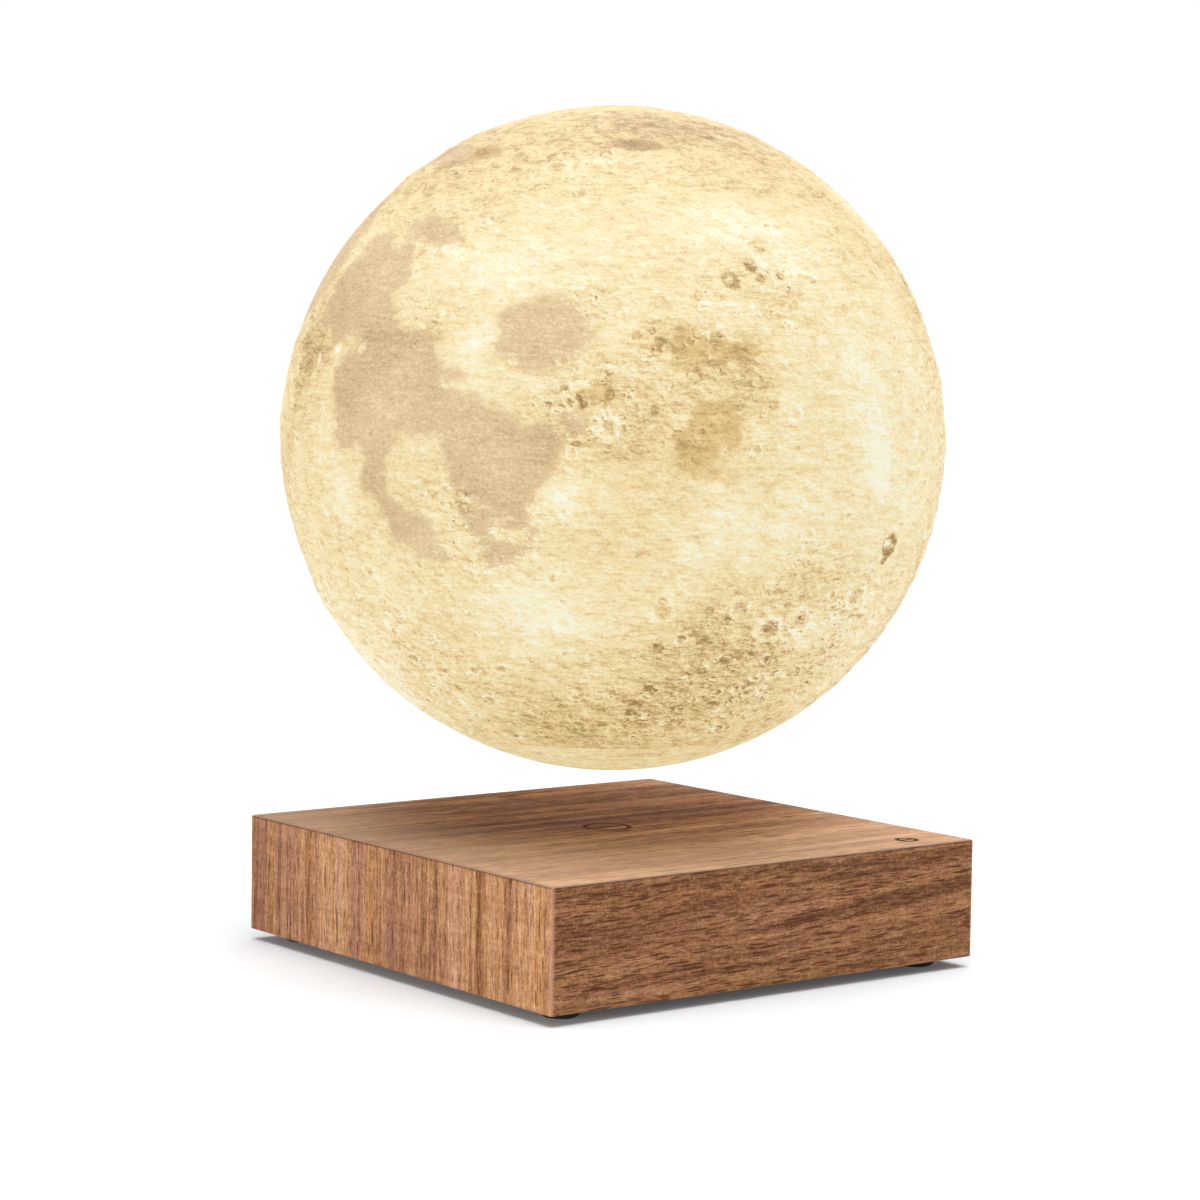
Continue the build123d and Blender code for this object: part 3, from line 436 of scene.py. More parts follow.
def inside_shore(directions, shore):
    """How many degrees each direction lies inside a traced shore, less than zero outside it."""
    middle = np.mean(shore, axis=0)
    x, y = offsets(directions, *middle)
    corners = [offsets(np.array([heading(*point)]), *middle) for point in shore]
    corners = np.array([(east[0], north[0]) for east, north in corners])
    nearest = np.full(len(directions), 180.0)
    inside = np.zeros(len(directions), dtype=bool)
    for (x0, y0), (x1, y1) in zip(corners, np.roll(corners, -1, axis=0)):
        share = ((x - x0) * (x1 - x0) + (y - y0) * (y1 - y0)) / ((x1 - x0) ** 2 + (y1 - y0) ** 2)
        share = np.clip(share, 0, 1)
        nearest = np.minimum(nearest, np.hypot(x - x0 - share * (x1 - x0), y - y0 - share * (y1 - y0)))
        rise = y1 - y0 if y1 != y0 else 1e-9
        inside ^= ((y0 > y) != (y1 > y)) & (x < x0 + (y - y0) / rise * (x1 - x0))
    return np.where(inside, nearest, -nearest)


SEA_REACH = 6.0  # degrees that the distance to a sea's edge is kept for, each side of the edge


def depth_inside(directions, shores, ovals=(), bays=()):
    """The distance inside the nearest edge in degrees, plus the reach, from 0 to twice the reach."""
    inside = np.full(len(directions), -SEA_REACH)
    for shore in shores.values():
        inside = np.maximum(inside, inside_shore(directions, shore))
    for oval in ovals:
        inside = np.maximum(inside, inside_oval(directions, *oval))
    for bay in bays:
        inside = np.minimum(inside, -inside_oval(directions, *bay))
    return np.clip(inside + SEA_REACH, 0, 2 * SEA_REACH)


PATCH_FALL = 0.8  # how quickly a patch fades from its middle


def patches(directions, marks):
    """The sum of soft oval patches."""
    total = np.zeros(len(directions))
    for latitude, longitude, half_height, half_width, amount in marks:
        x, y = offsets(directions, latitude, longitude)
        total += amount * np.exp(-PATCH_FALL * ((x / half_width) ** 2 + (y / half_height) ** 2))
    return total


RIM_HEIGHT = 0.25
RIM_WIDTH = 0.3  # of the crater's radius
BOWL_DEPTH = 0.6


def carving(directions):
    """The height in millimetres that the single craters add: bowls in raised rims, deeper for dark ones."""
    height = np.zeros(len(directions))
    for latitude, longitude, radius, ring, _ in CRATERS:
        x, y = offsets(directions, latitude, longitude)
        reach = np.radians(np.hypot(x, y)) * MOON_RADIUS / MM / radius
        rim = np.exp(-(((reach - 1) / RIM_WIDTH) ** 2))
        bowl = np.clip(1.15 - reach, 0, 1)
        height += (RIM_HEIGHT * rim - BOWL_DEPTH * bowl) * min(radius / 2, 1) * (0.35 + ring)
    return height


# The moon's shell

GRID = 120  # faces along each edge of the cube that is blown up to the moon


def quad_ball(radius, count):
    """A ball of even four-sided faces: a finely divided cube, blown up."""
    mesh = bmesh.new()
    bmesh.ops.create_cube(mesh, size=2)
    bmesh.ops.subdivide_edges(mesh, edges=mesh.edges[:], cuts=count - 1, use_grid_fill=True)
    for vertex in mesh.verts:
        warped = Vector([math.tan(value * math.pi / 4) for value in vertex.co])
        vertex.co = warped.normalized() * radius
    return mesh


def new_piece(name, mesh):
    """A Blender object from a bmesh."""
    data = bpy.data.meshes.new(name)
    mesh.to_mesh(data)
    mesh.free()
    piece = bpy.data.objects.new(name, data)
    bpy.context.scene.collection.objects.link(piece)
    return piece


def store(piece, name, values):
    """Keeps a number for each point of a piece, for its material."""
    attribute = piece.data.attributes.new(name, "FLOAT", "POINT")
    attribute.data.foreach_set("value", np.asarray(values, dtype=np.float32))


def directions_of(piece):
    """The direction of each point from the moon's centre."""
    places = np.empty(3 * len(piece.data.vertices), dtype=np.float32)
    piece.data.vertices.foreach_get("co", places)
    away = places.reshape(-1, 3) - np.array(MOON_CENTRE)
    return away / np.linalg.norm(away, axis=1)[:, None]


def store_map(piece):
    """Keeps the moon's map on a piece's points."""
    directions = directions_of(piece).astype(float)
    store(piece, "sea", depth_inside(directions, SHORES, SEAS, BAYS))
    store(piece, "marsh", depth_inside(directions, MARSHES))
    store(piece, "tone", patches(directions, TONES))
    store(piece, "pits", np.clip(patches(directions, ROUGH), 0, 1))
    store(piece, "carved", carving(directions))


CRATER_SIZES = ((26, 0.55), (12, 0.42), (6.5, 0.26))  # spacing of the raised craters, and their depth
MOUTH_RISE = 9 * MM  # height over which the relief grows above the mouth


def relief_tree():
    """The tree that raises the moon's craters and rolling ground, and leaves the ball plain at its mouth."""
    tree = bpy.data.node_groups.new("Moon relief", "GeometryNodeTree")
    kinds = {"Ball": "Geometry", "Centre": "Vector", "Relief": "Float", "Flat below": "Float"}
    kinds["Material"] = "Material"
    for label, kind in kinds.items():
        tree.interface.new_socket(label, in_out="INPUT", socket_type="NodeSocket" + kind)
    tree.interface.new_socket("Moon", in_out="OUTPUT", socket_type="NodeSocketGeometry")
    sheet = Sheet(tree)
    given = sheet.add("NodeGroupInput").outputs
    position = sheet.add("GeometryNodeInputPosition").outputs[0]
    away = sheet.vector("SUBTRACT", position, given["Centre"])
    ground = sheet.resized(away, 1 / MM)

    def named(name):
        """A number that is kept on the ball's points."""
        node = sheet.add("GeometryNodeInputNamedAttribute", {"Name": name}, data_type="FLOAT")
        return next(socket for socket in node.outputs if socket.enabled and socket.name == "Attribute")

    def craters(spacing, depth):
        """Round bowls with raised rims, about one in each cell of the spacing."""
        distance, random = sheet.cells(ground, 1 / spacing)
        radius = sheet.step(sheet.apart(random)[0], 0.0, 1.0, 0.12, 0.42)
        reach = sheet.calc("DIVIDE", distance, radius)
        bowl = sheet.step(reach, 0.35, 1.0, -1.0, 0.0)
        rim = sheet.step(sheet.gap(reach, 1.0), 0.0, 0.4, 0.45, 0.0)
        return sheet.times(sheet.total(bowl, rim), depth)

    rolling = sheet.around(sheet.noise(ground, 0.03, 4, 0.6), 1.3)
    rough = sheet.around(sheet.noise(ground, 0.16, 5, 0.65), 0.55)
    bowls = sheet.total(*(craters(spacing, depth) for spacing, depth in CRATER_SIZES))
    dry = sheet.step(named("sea"), SEA_REACH - 1.5, SEA_REACH + 2.0, 1.0, 0.22)
    crowded = sheet.scaled(named("pits"), 0.6, 0.7)
    land = sheet.times(sheet.total(sheet.times(bowls, crowded), rough), dry)
    sunk = sheet.step(named("sea"), SEA_REACH - 1.0, SEA_REACH + 3.0, 0.0, -0.35)
    height = sheet.total(land, rolling, sunk, named("carved"))
    grown = sheet.total(given["Flat below"], MOUTH_RISE)
    share = sheet.step(sheet.apart(position)[2], given["Flat below"], grown)
    amount = sheet.times(sheet.times(height, given["Relief"]), share)
    offset = sheet.resized(sheet.vector("NORMALIZE", away), amount)
    moved = sheet.add("GeometryNodeSetPosition", {"Geometry": given["Ball"], "Offset": offset})
    real = sheet.add("GeometryNodeRealizeInstances", {0: moved.outputs[0]})
    painted = {"Geometry": real.outputs[0], "Material": given["Material"]}
    sheet.add("NodeGroupOutput", {"Moon": sheet.add("GeometryNodeSetMaterial", painted).outputs[0]})
    return tree


def run_tree(piece, tree, **inputs):
    """Runs a geometry tree on a piece and keeps its result as the piece's plain mesh."""
    modifier = piece.modifiers.new("Shape", "NODES")
    modifier.node_group = tree
    sockets = [item for item in tree.interface.items_tree if item.in_out == "INPUT"]
    names = {socket.name: socket.identifier for socket in sockets}
    for label, value in inputs.items():
        modifier[names[label.replace("_", " ").capitalize()]] = value
    evaluated = piece.evaluated_get(bpy.context.evaluated_depsgraph_get())
    result = bpy.data.meshes.new_from_object(evaluated)
    piece.modifiers.remove(modifier)
    old, piece.data = piece.data, result
    bpy.data.meshes.remove(old)


INSIDE_RINGS = 26  # rings of faces on the inside wall


def cut_mouth(piece, height):
    """Cuts a ball off below a height and gives it an inside wall, from the cut up to a pole."""
    mesh = bmesh.new()
    mesh.from_mesh(piece.data)
    everything = mesh.verts[:] + mesh.edges[:] + mesh.faces[:]
    plane = {"plane_co": (0, 0, height), "plane_no": (0, 0, 1), "clear_inner": True}
    cut = bmesh.ops.bisect_plane(mesh, geom=everything, dist=1e-6, **plane)
    edge = {item for item in cut["geom_cut"] if isinstance(item, bmesh.types.BMEdge)}
    inner = MOON_RADIUS - SHELL_WALL
    start = math.acos(MOUTH_RADIUS / inner)
    for step in range(INSIDE_RINGS):
        grown = bmesh.ops.extrude_edge_only(mesh, edges=list(edge))["geom"]
        edge = {item for item in grown if isinstance(item, bmesh.types.BMEdge)}
        slope = -start + (start + math.pi / 2) * step / INSIDE_RINGS
        reach, rise = inner * math.cos(slope), inner * math.sin(slope)
        for vertex in {v for item in edge for v in item.verts}:
            flat = Vector((vertex.co.x, vertex.co.y)).normalized() * reach
            vertex.co = (flat.x, flat.y, MOON_CENTRE.z + rise)
    bmesh.ops.holes_fill(mesh, edges=list(edge))
    bmesh.ops.recalc_face_normals(mesh, faces=mesh.faces[:])
    mesh.to_mesh(piece.data)
    mesh.free()


def make_moon():
    """The printed moon, with its relief, its mouth and the map on its points."""
    ball = quad_ball(MOON_RADIUS, GRID)
    bmesh.ops.translate(ball, verts=ball.verts[:], vec=MOON_CENTRE)
    moon = new_piece("printed_moon", ball)
    store_map(moon)
    mouth = MOON_CENTRE.z - math.sqrt(MOON_RADIUS**2 - MOUTH_RADIUS**2)
    plastic = materials["moon_plastic"]
    run_tree(moon, relief_tree(), centre=MOON_CENTRE, relief=MM, flat_below=mouth, material=plastic)
    cut_mouth(moon, mouth)
    for polygon in moon.data.polygons:
        polygon.use_smooth = True
    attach(moon, "moon")
    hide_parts("moon_shell")


# Materials

materials = {}


def crater_mark_group():
    """One crater's mark on the moon: how dark its ring is and how light its floor is, at a place."""
    inputs = {"Place": ORIGIN, "Centre": ORIGIN, "Radius": 1.0, "Ring": 0.5, "Floor": 0.0, "Before": 0.0}
    sheet, given, out = group_of("Crater mark", inputs, ["After"])
    distance = sheet.length(sheet.vector("SUBTRACT", given["Place"], given["Centre"]))
    reach = sheet.calc("DIVIDE", distance, given["Radius"])
    off_ring = sheet.gap(reach, 0.75)
    ring = sheet.times(sheet.step(off_ring, 0.0, 0.6, -1.0, 0.0), given["Ring"])
    floor = sheet.times(sheet.step(reach, 0.25, 0.9, 1.0, 0.0), given["Floor"])
    sheet.put(out["After"], sheet.total(given["Before"], ring, floor))


# The print's random craters: spacing, smallest and largest share of it, more or fewer, and strength
PRINT_CRATERS = ((9.0, 0.12, 0.38, 0.0, 1.0), (4.4, 0.14, 0.40, 0.05, 0.8), (2.3, 0.16, 0.42, 0.0, 0.5))


def ground_group():
    """The height of the moon's small relief: uneven ground with craters of three sizes."""
    inputs = {"Place": ORIGIN, "Crowding": 0.3}
    sheet, given, out = group_of("Ground", inputs, ["Height", "Craters"])
    place = given["Place"]
    rough = sheet.noise(place, (0.17, 0.17, 0.3), 7, 0.68)

    def craters(spacing, small, large, more, strength):
        """Bowls with raised rims at random, more of them where the ground is crowded."""
        distance, random = sheet.cells(place, 1 / spacing)
        chances = sheet.apart(random)
        radius = sheet.step(sheet.times(chances[0], chances[0]), 0.0, 1.0, small, large)
        reach = sheet.calc("DIVIDE", distance, radius)
        bowl = sheet.step(reach, 0.2, 1.0, -1.0, 0.0)
        rim = sheet.step(sheet.gap(reach, 1.1), 0.0, 0.45, 0.8, 0.0)
        spare = sheet.minus(sheet.total(given["Crowding"], more), chances[1])
        crater = sheet.times(sheet.total(bowl, rim), sheet.step(spare, -0.05, 0.05))
        return sheet.times(crater, strength)

    bowls = sheet.total(*(craters(*sizes) for sizes in PRINT_CRATERS))
    sheet.put(out["Craters"], bowls)
    sheet.put(out["Height"], sheet.total(rough, sheet.times(bowls, 0.15)))


# Colours of the moon's high ground, from its darkest level to its lightest
GROUND_COLOURS = {
    0.0: (160, 127, 76), 0.22: (203, 171, 114), 0.42: (236, 208, 151), 0.62: (250, 228, 174),
    0.82: (255, 243, 200), 1.0: (255, 253, 228),
}
PRINT_NOISES = {  # scale, finer across the print's layers, with detail and roughness
    "streaks": ((0.16, 0.16, 1.25), 5, 0.68),
    "threads": ((0.5, 0.5, 2.6), 3, 0.7),
    "frayed": ((0.13, 0.13, 0.24), 7, 0.72),
    "blots": ((0.26, 0.26, 0.62), 4, 0.62),
    "cloudy": (0.05, 4, 0.6),
    "grain": (1.25, 2, 0.7),
}
FRAY = {"frayed": 7.5, "streaks": 3.5, "threads": 3.0, "grain": 3.0}  # degrees that a sea's edge wanders
GROUND_LIGHT = {"cloudy": 0.45, "streaks": 0.68, "threads": 0.55, "grain": 0.5}
SEA_LIGHT = {"cloudy": 1.2, "streaks": 1.1, "threads": 1.0, "grain": 1.3}
MARSH_LEVEL = 0.36  # the level that the marshes' light and dark draw in to
MARSH_TINT = (0.93, 0.87, 0.74, 1)
# Painted light and shade on the print's craters: the height a step towards one side, less the height here,
# lightens one side of each and darkens the other
PAINTED_LIGHT_STEP = (0.36, -0.27, 0.36)  # millimetres towards the side from which the print's craters look lit


def moon_print_group():
    """The moon's colour and relief from its map: seas, high ground, craters with painted light and shade on
    their sides, and the streaks of its layers.
    """
    inputs = {"Place": ORIGIN, "Ragged place": ORIGIN}
    inputs.update({"Sea": 0.0, "Marsh": 0.0, "Tone": 0.0, "Pits": 0.0, "Marks": 0.0})
    inputs.update({"Sea colour": colour(224, 194, 147), "Sea light": colour(248, 224, 174)})
    inputs["Sea shadow"] = colour(192, 159, 107)
    sheet, given, out = group_of("Moon print", inputs, ["Colour", "Height"])
    place = given["Place"]
    noises = {name: sheet.noise(place, *facts) for name, facts in PRINT_NOISES.items()}
    blots = noises["blots"]

    crowding = sheet.scaled(given["Pits"], 0.62, 0.07)
    ground = use(sheet, "Ground", place=given["Ragged place"], crowding=crowding)
    # painted light and shade on the craters' sides, from the height a step aside
    shifted = sheet.vector("ADD", given["Ragged place"], PAINTED_LIGHT_STEP)
    beside = use(sheet, "Ground", place=shifted, crowding=crowding)
    slope = sheet.minus(ground["Height"], beside["Height"])
    painted_crater_shade = sheet.times(slope, sheet.scaled(given["Pits"], 1.3, 1.1))

    ragged = sheet.times(sheet.swing(noises, FRAY), sheet.total(given["Pits"], 1.0))
    fray = sheet.minus(ragged, SEA_REACH)
    sea = sheet.step(sheet.total(given["Sea"], fray), -0.6, 0.6)
    soft_fray = sheet.scaled(fray, 0.6, -0.4 * SEA_REACH)
    marsh = sheet.step(sheet.total(given["Marsh"], soft_fray), -0.7, 0.7)
    pitted = sheet.scaled(given["Pits"], 0.09, 0.03)
    spotted = sheet.scaled(given["Pits"], 0.05, 0.09)
    level = sheet.total(
        0.61,
        sheet.times(given["Tone"], 0.34),
        sheet.times(marsh, -0.16),
        sheet.swing(noises, GROUND_LIGHT),
        sheet.around(ground["Height"], 0.6),
        painted_crater_shade,
        sheet.times(ground["Craters"], pitted),
        sheet.times(sheet.step(blots, 0.52, 0.64, 0.0, -1.0), spotted),
        sheet.step(blots, 0.45, 0.34, 0.0, 0.08),
        sheet.times(sheet.calc("MAXIMUM", given["Marks"], -2.0), 0.38),
    )
    calmed = sheet.times(sheet.minus(level, MARSH_LEVEL), sheet.scaled(marsh, -0.35, 1.0))
    high_ground = sheet.ramp(sheet.total(calmed, MARSH_LEVEL), GROUND_COLOURS)
    high_ground = sheet.tinted(high_ground, sheet.mix(marsh, WHITE, MARSH_TINT))
    sea_level = sheet.total(
        0.5,
        sheet.times(given["Tone"], 0.35),
        sheet.swing(noises, SEA_LIGHT),
        # painted light and shade on the seas' small relief as well
        sheet.times(slope, 1.2),
        sheet.step(given["Marks"], -1.0, 1.0, -0.7, 0.7),
    )
    low_ground = sheet.mix(sheet.step(sea_level, 0.45, 1.1), given["Sea colour"], given["Sea light"])
    low_ground = sheet.mix(sheet.step(sea_level, 0.55, -0.1), low_ground, given["Sea shadow"])
    sheet.put(out["Colour"], sheet.mix(sea, high_ground, low_ground))
    flattened = sheet.times(sheet.around(ground["Height"], 1.0), sheet.step(sea, 0, 1, 1.0, 0.35))
    layers = sheet.total(sheet.times(noises["streaks"], 0.2), sheet.times(noises["threads"], 0.1))
    sheet.put(out["Height"], sheet.total(0.5, flattened, layers))


GLOW = 0.76  # how strongly the light inside shows the print's colour
UNLIT = (0.12, 0.12, 0.12, 1)  # how much of it the print throws back
EDGE_WANDER = (4.5, 4.5, 2.5)  # millimetres that the edges of seas wander
MARK_WANDER = (2.8, 2.8, 1.4)  # millimetres that the single craters wander
PRINT_DEPTH = 0.8


def moon_material():
    """White print that glows in its own pattern."""
    material, sheet, shader, place = material_of("moon_plastic", roughness=0.62)
    away = sheet.vector("SUBTRACT", place, tuple(MOON_CENTRE / MM))
    wobble = sheet.add("ShaderNodeTexNoise", {"Vector": away, "Scale": 0.42, "Detail": 3.0, "Roughness": 0.6})
    crooked = sheet.vector("SUBTRACT", wobble.outputs["Color"], (0.5, 0.5, 0.5))
    ragged = sheet.vector("ADD", away, sheet.vector("MULTIPLY", crooked, EDGE_WANDER))
    less_ragged = sheet.vector("ADD", away, sheet.vector("MULTIPLY", crooked, MARK_WANDER))
    rows = []
    for latitude, longitude, radius, ring, floor in CRATERS:
        centre = tuple(heading(latitude, longitude) * MOON_RADIUS / MM)
        rows.append({"centre": centre, "radius": radius, "ring": ring, "floor": floor})
    mapped = {"marks": chain(sheet, "Crater mark", rows, place=less_ragged)}
    for name in ("sea", "marsh", "tone", "pits"):
        mapped[name] = sheet.add("ShaderNodeAttribute", attribute_name=name).outputs["Fac"]
    print_ = use(sheet, "Moon print", place=away, ragged_place=ragged, **mapped)
    sheet.put(shader["Base Color"], sheet.tinted(print_["Colour"], UNLIT))
    sheet.put(shader["Emission Color"], print_["Colour"])
    shader["Emission Strength"].default_value = GLOW
    bump(sheet, shader, print_["Height"], PRINT_DEPTH)
    return material


def stripe_group():
    """A soft stripe along the grain, added to a sum: lighter above zero and darker below."""
    inputs = {
        "Along": 0.0, "Across": 0.0, "Centre": 0.0, "Half width": 2.0, "Slope": 0.0, "Start": -200.0,
        "Amount": 0.2, "Before": 0.0,
    }
    sheet, given, out = group_of("Stripe", inputs, ["After"])
    middle = sheet.scaled(given["Along"], given["Slope"], given["Centre"])
    off = sheet.gap(given["Across"], middle)
    inside = sheet.step(sheet.calc("DIVIDE", off, given["Half width"]), 0.35, 1.3, 1.0, 0.0)
    begun = sheet.step(sheet.minus(given["Along"], given["Start"]), 0.0, 25.0)
    amount = sheet.times(sheet.times(inside, begun), given["Amount"])
    sheet.put(out["After"], sheet.total(given["Before"], amount))


# Colours of the walnut, from its darkest level to its lightest
WOOD_COLOURS = {
    0.0: (80, 47, 28), 0.25: (122, 80, 51), 0.5: (163, 115, 79), 0.75: (196, 148, 109), 1.0: (224, 182, 143),
}
WOOD_NOISES = {  # scale, long along the grain, with detail and roughness
    "bands": ((0.006, 0.15, 0.15), 2, 0.5),
    "lines": ((0.016, 0.62, 0.62), 4, 0.66),
    "fibre": ((0.2, 2.0, 2.0), 3, 0.7),
    "rings": ((0.005, 0.11, 0.11), 2, 0.5),
    "hue": ((0.008, 0.2, 0.2), 2, 0.5),
}
COOL_WOOD = (236, 226, 246)
WARM_WOOD = (255, 251, 230)
PORE_COLOUR = (86, 46, 26)
# The walnut's pores: how they are stretched, their least size and how dark they are
PORES = (((0.08, 1.0, 1.0), 0.17, 0.85), ((0.13, 1.5, 1.5), 0.18, 0.8), ((0.22, 2.2, 2.2), 0.2, 0.6))


def walnut_group():
    """Walnut along +X: broad bands, fine lines, short dark pores and a ripple across."""
    inputs = {
        "Place": ORIGIN, "Shade": 0.0, "Bands": 1.0, "Pores": 0.6, "Ripple": 0.2, "Mauve": 0.4,
        "Bend": 7.0, "Lines": 0.55, "Fibre": 0.85, "Pore size": 1.0,
    }
    sheet, given, out = group_of("Walnut", inputs, ["Colour", "Roughness", "Height"])
    place = given["Place"]
    wander = sheet.noise(place, (0.011, 0.03, 0.03), 3, 0.55)
    bend = sheet.times(sheet.around(wander, 1.0), given["Bend"])
    bent = sheet.vector("ADD", place, sheet.joined(0.0, bend, bend))
    bands, lines, fibre, rings, hue = (sheet.noise(bent, *facts) for facts in WOOD_NOISES.values())
    grain = sheet.noise(place, 1.3, 2, 0.7)
    ripple = sheet.noise(place, (0.6, 0.09, 0.09), 2, 0.5)

    ring = sheet.gap(sheet.calc("FRACT", sheet.times(rings, 7.0)), 0.5)
    level = sheet.total(
        0.5,
        given["Shade"],
        sheet.times(sheet.around(bands, 1.5), given["Bands"]),
        sheet.step(ring, 0.34, 0.5, 0.0, -0.12),
        sheet.times(sheet.around(lines, 1.0), given["Lines"]),
        sheet.times(sheet.around(fibre, 1.0), given["Fibre"]),
        sheet.around(grain, 0.7),
        sheet.times(sheet.around(ripple, 1.1), given["Ripple"]),
    )
    wood = sheet.ramp(level, WOOD_COLOURS)
    cool = sheet.times(sheet.step(hue, 0.5, 0.64), given["Mauve"])
    golden = sheet.times(sheet.step(hue, 0.5, 0.36), given["Mauve"])
    tinted = sheet.mix(cool, WHITE, colour(*COOL_WOOD))
    tinted = sheet.mix(golden, tinted, colour(*WARM_WOOD))
    wood = sheet.tinted(wood, tinted)

    crowd = sheet.minus(given["Pores"], sheet.around(lines, 1.6))
    coarse = sheet.vector("DIVIDE", bent, sheet.joined(*[given["Pore size"]] * 3))

    def pores(stretch, least, darkness):
        """Dark dashes along the grain, more of them in its darker lines."""
        distance, random = sheet.cells(sheet.vector("MULTIPLY", coarse, stretch))
        chances = sheet.apart(random)
        size = sheet.scaled(chances[2], 0.14, least)
        dash = sheet.step(sheet.minus(distance, size), 0.04, -0.04)
        wanted = sheet.step(sheet.minus(crowd, chances[0]), 0.0, 0.12)
        return sheet.times(sheet.times(dash, wanted), darkness)

    dark = sheet.calc("MINIMUM", sheet.total(*(pores(*size) for size in PORES)), 0.85)
    sheet.put(out["Colour"], sheet.mix(dark, wood, colour(*PORE_COLOUR)))
    sheet.put(out["Roughness"], sheet.total(0.6, sheet.times(dark, 0.2), sheet.around(fibre, 0.16)))
    sheet.put(out["Height"], sheet.total(0.8, sheet.times(fibre, 0.3), sheet.times(dark, -0.7)))


def edge_line_and_highlight_group():
    """The thin lines where veneered panels meet: one mask is 1 on the top's rim, the other is 1 on an upright
    corner, for a painted highlight there; else 0.
    """
    inputs = {"Place": ORIGIN, "Half width": 71.0, "Top": 35.0, "Width": 0.5}
    sheet, given, out = group_of("Edge line and highlight", inputs, ["Line", "Corner highlight"])
    x, y, z = sheet.apart(given["Place"])
    start = sheet.minus(0.0, given["Width"])

    def near(value, limit):
        """1 where a number comes up to its limit."""
        return sheet.step(sheet.minus(value, limit), start, sheet.times(start, 0.3))

    sides = near(sheet.calc("ABSOLUTE", x), given["Half width"])
    ends = near(sheet.calc("ABSOLUTE", y), given["Half width"])
    top = near(z, given["Top"])
    sheet.put(out["Line"], sheet.times(sheet.calc("MAXIMUM", sides, ends), top))
    sheet.put(out["Corner highlight"], sheet.times(sides, ends))


def painted_sheen_group():
    """Where painted sheen lies on the top's veneer: 0 behind its middle, which is left as painted shade under
    the moon, rising to 1 at the front and the sides.
    """
    inputs = {"Place": ORIGIN, "Middle": (18, 28, 0), "Start": 38.0, "End": 88.0}
    sheet, given, out = group_of("Painted sheen", inputs, ["Mask"])
    distance = sheet.from_axis(sheet.vector("SUBTRACT", given["Place"], given["Middle"]))
    sheet.put(out["Mask"], sheet.step(distance, given["Start"], given["End"]))


def burnt_mark_group():
    """The dark line of a burnt ring with a bar across it."""
    inputs = {"Place": ORIGIN, "Centre": ORIGIN, "Ring": 6.3, "Bar": 8.0, "Width": 0.6, "Before": 0.0}
    sheet, given, out = group_of("Burnt mark", inputs, ["After"])
    place = sheet.vector("SUBTRACT", given["Place"], given["Centre"])
    off_ring = sheet.gap(sheet.from_axis(place), given["Ring"])
    x, y, _ = sheet.apart(place)
    past_end = sheet.minus(sheet.calc("ABSOLUTE", x), sheet.times(given["Bar"], 0.5))
    off_bar = sheet.length(sheet.joined(sheet.calc("MAXIMUM", past_end, 0.0), y, 0.0))
    off = sheet.calc("DIVIDE", sheet.calc("MINIMUM", off_ring, off_bar), given["Width"])
    scorch = sheet.step(off, 0.8, 1.5, 1.0, 0.0)
    sheet.put(out["After"], sheet.calc("MAXIMUM", given["Before"], scorch))


# The two engravings of the top: radius of the ring, length of the bar and width of the line
ENGRAVINGS = {
    "middle_mark": {"centre": ORIGIN, "ring": 6.3, "bar": 8.0, "width": 0.6},
    "touch_mark": {"centre": (55, -61.5, 0), "ring": 2.7, "bar": 3.0, "width": 0.6},
}

# Stripes of each veneer, in the order of these inputs. The last two may be left out
STRIPE_INPUTS = ("centre", "half_width", "amount", "slope", "start")
STRIPES = {
    "walnut_top": [
        # The first two, darker across the back and the middle, are painted shade: the moon's shadow on the
        # top
        (42, 44, -0.35), (-2, 26, -0.115, 0.02), (-45, 22, -0.12), (-45, 22, 0.12, 0, 5),
        (-5, 2.0, -0.09, 0.02), (12, 3.0, -0.075, 0.01), (-20, 2.4, 0.09, 0.03, -30),
        (-33, 1.6, -0.09, 0.05), (-43, 3.5, 0.075, 0.04), (-55, 2.0, -0.12, 0.08), (-66, 6.0, 0.03),
    ],
    "walnut_front": [
        (18.5, 1.5, -0.22, 0.075, -10), (15.5, 1.0, -0.15, 0.09, -5), (28, 1.2, -0.11, 0.05, 0),
        (9, 1.0, -0.09, 0.03, -60), (24, 2.5, 0.075, 0.06, -40), (12, 2.0, 0.075, 0.07, 10),
        (32.5, 1.4, -0.09), (16, 17, -0.065, 0, 10),
    ],
    "walnut_left": [
        (69, 2.2, -0.14), (62, 7.0, -0.05), (55.5, 1.0, -0.11), (40.5, 0.8, -0.15), (28, 8.5, 0.13),
        (13, 4.0, 0.015), (0, 5.5, -0.05), (-5, 1.2, -0.14), (-15, 1.0, -0.15), (-20, 0.8, -0.15),
        (-30, 7.0, 0.13), (-40.5, 1.8, -0.17, 0.02), (-47, 3.0, 0.1), (-52.6, 0.8, -0.11),
        (-62, 8.0, 0.1),
    ],
    "walnut_back": [
        (20, 2.0, -0.19, -0.04, -40), (11, 1.0, -0.14, 0.03, -60), (27, 3.0, 0.09, 0.02),
    ],
    "walnut_right": [
        (-60, 3.0, -0.15), (-44, 6.0, 0.11), (-28, 1.2, -0.12), (-8, 9.0, 0.11), (11, 2.0, -0.11),
        (34, 7.0, 0.09), (52, 1.4, -0.12),
    ],
}

# What lies over the wood: how strongly, and its screen colour
EDGE_LINE = (0.75, (70, 42, 28))
# a painted highlight down each upright corner
CORNER_HIGHLIGHT = (0.45, (200, 152, 122))
# The top's painted sheen: lighter towards its front and sides, with its middle left in painted shade under
# the moon
PAINTED_SHEEN = (0.38, (220, 190, 166))
BURNT = (0.92, (70, 34, 14))
EDGE_LINE_WIDTH = 0.9
STRIPE_WANDER = 5.0  # millimetres that a stripe wanders across the grain
WOOD_DEPTH = 0.14


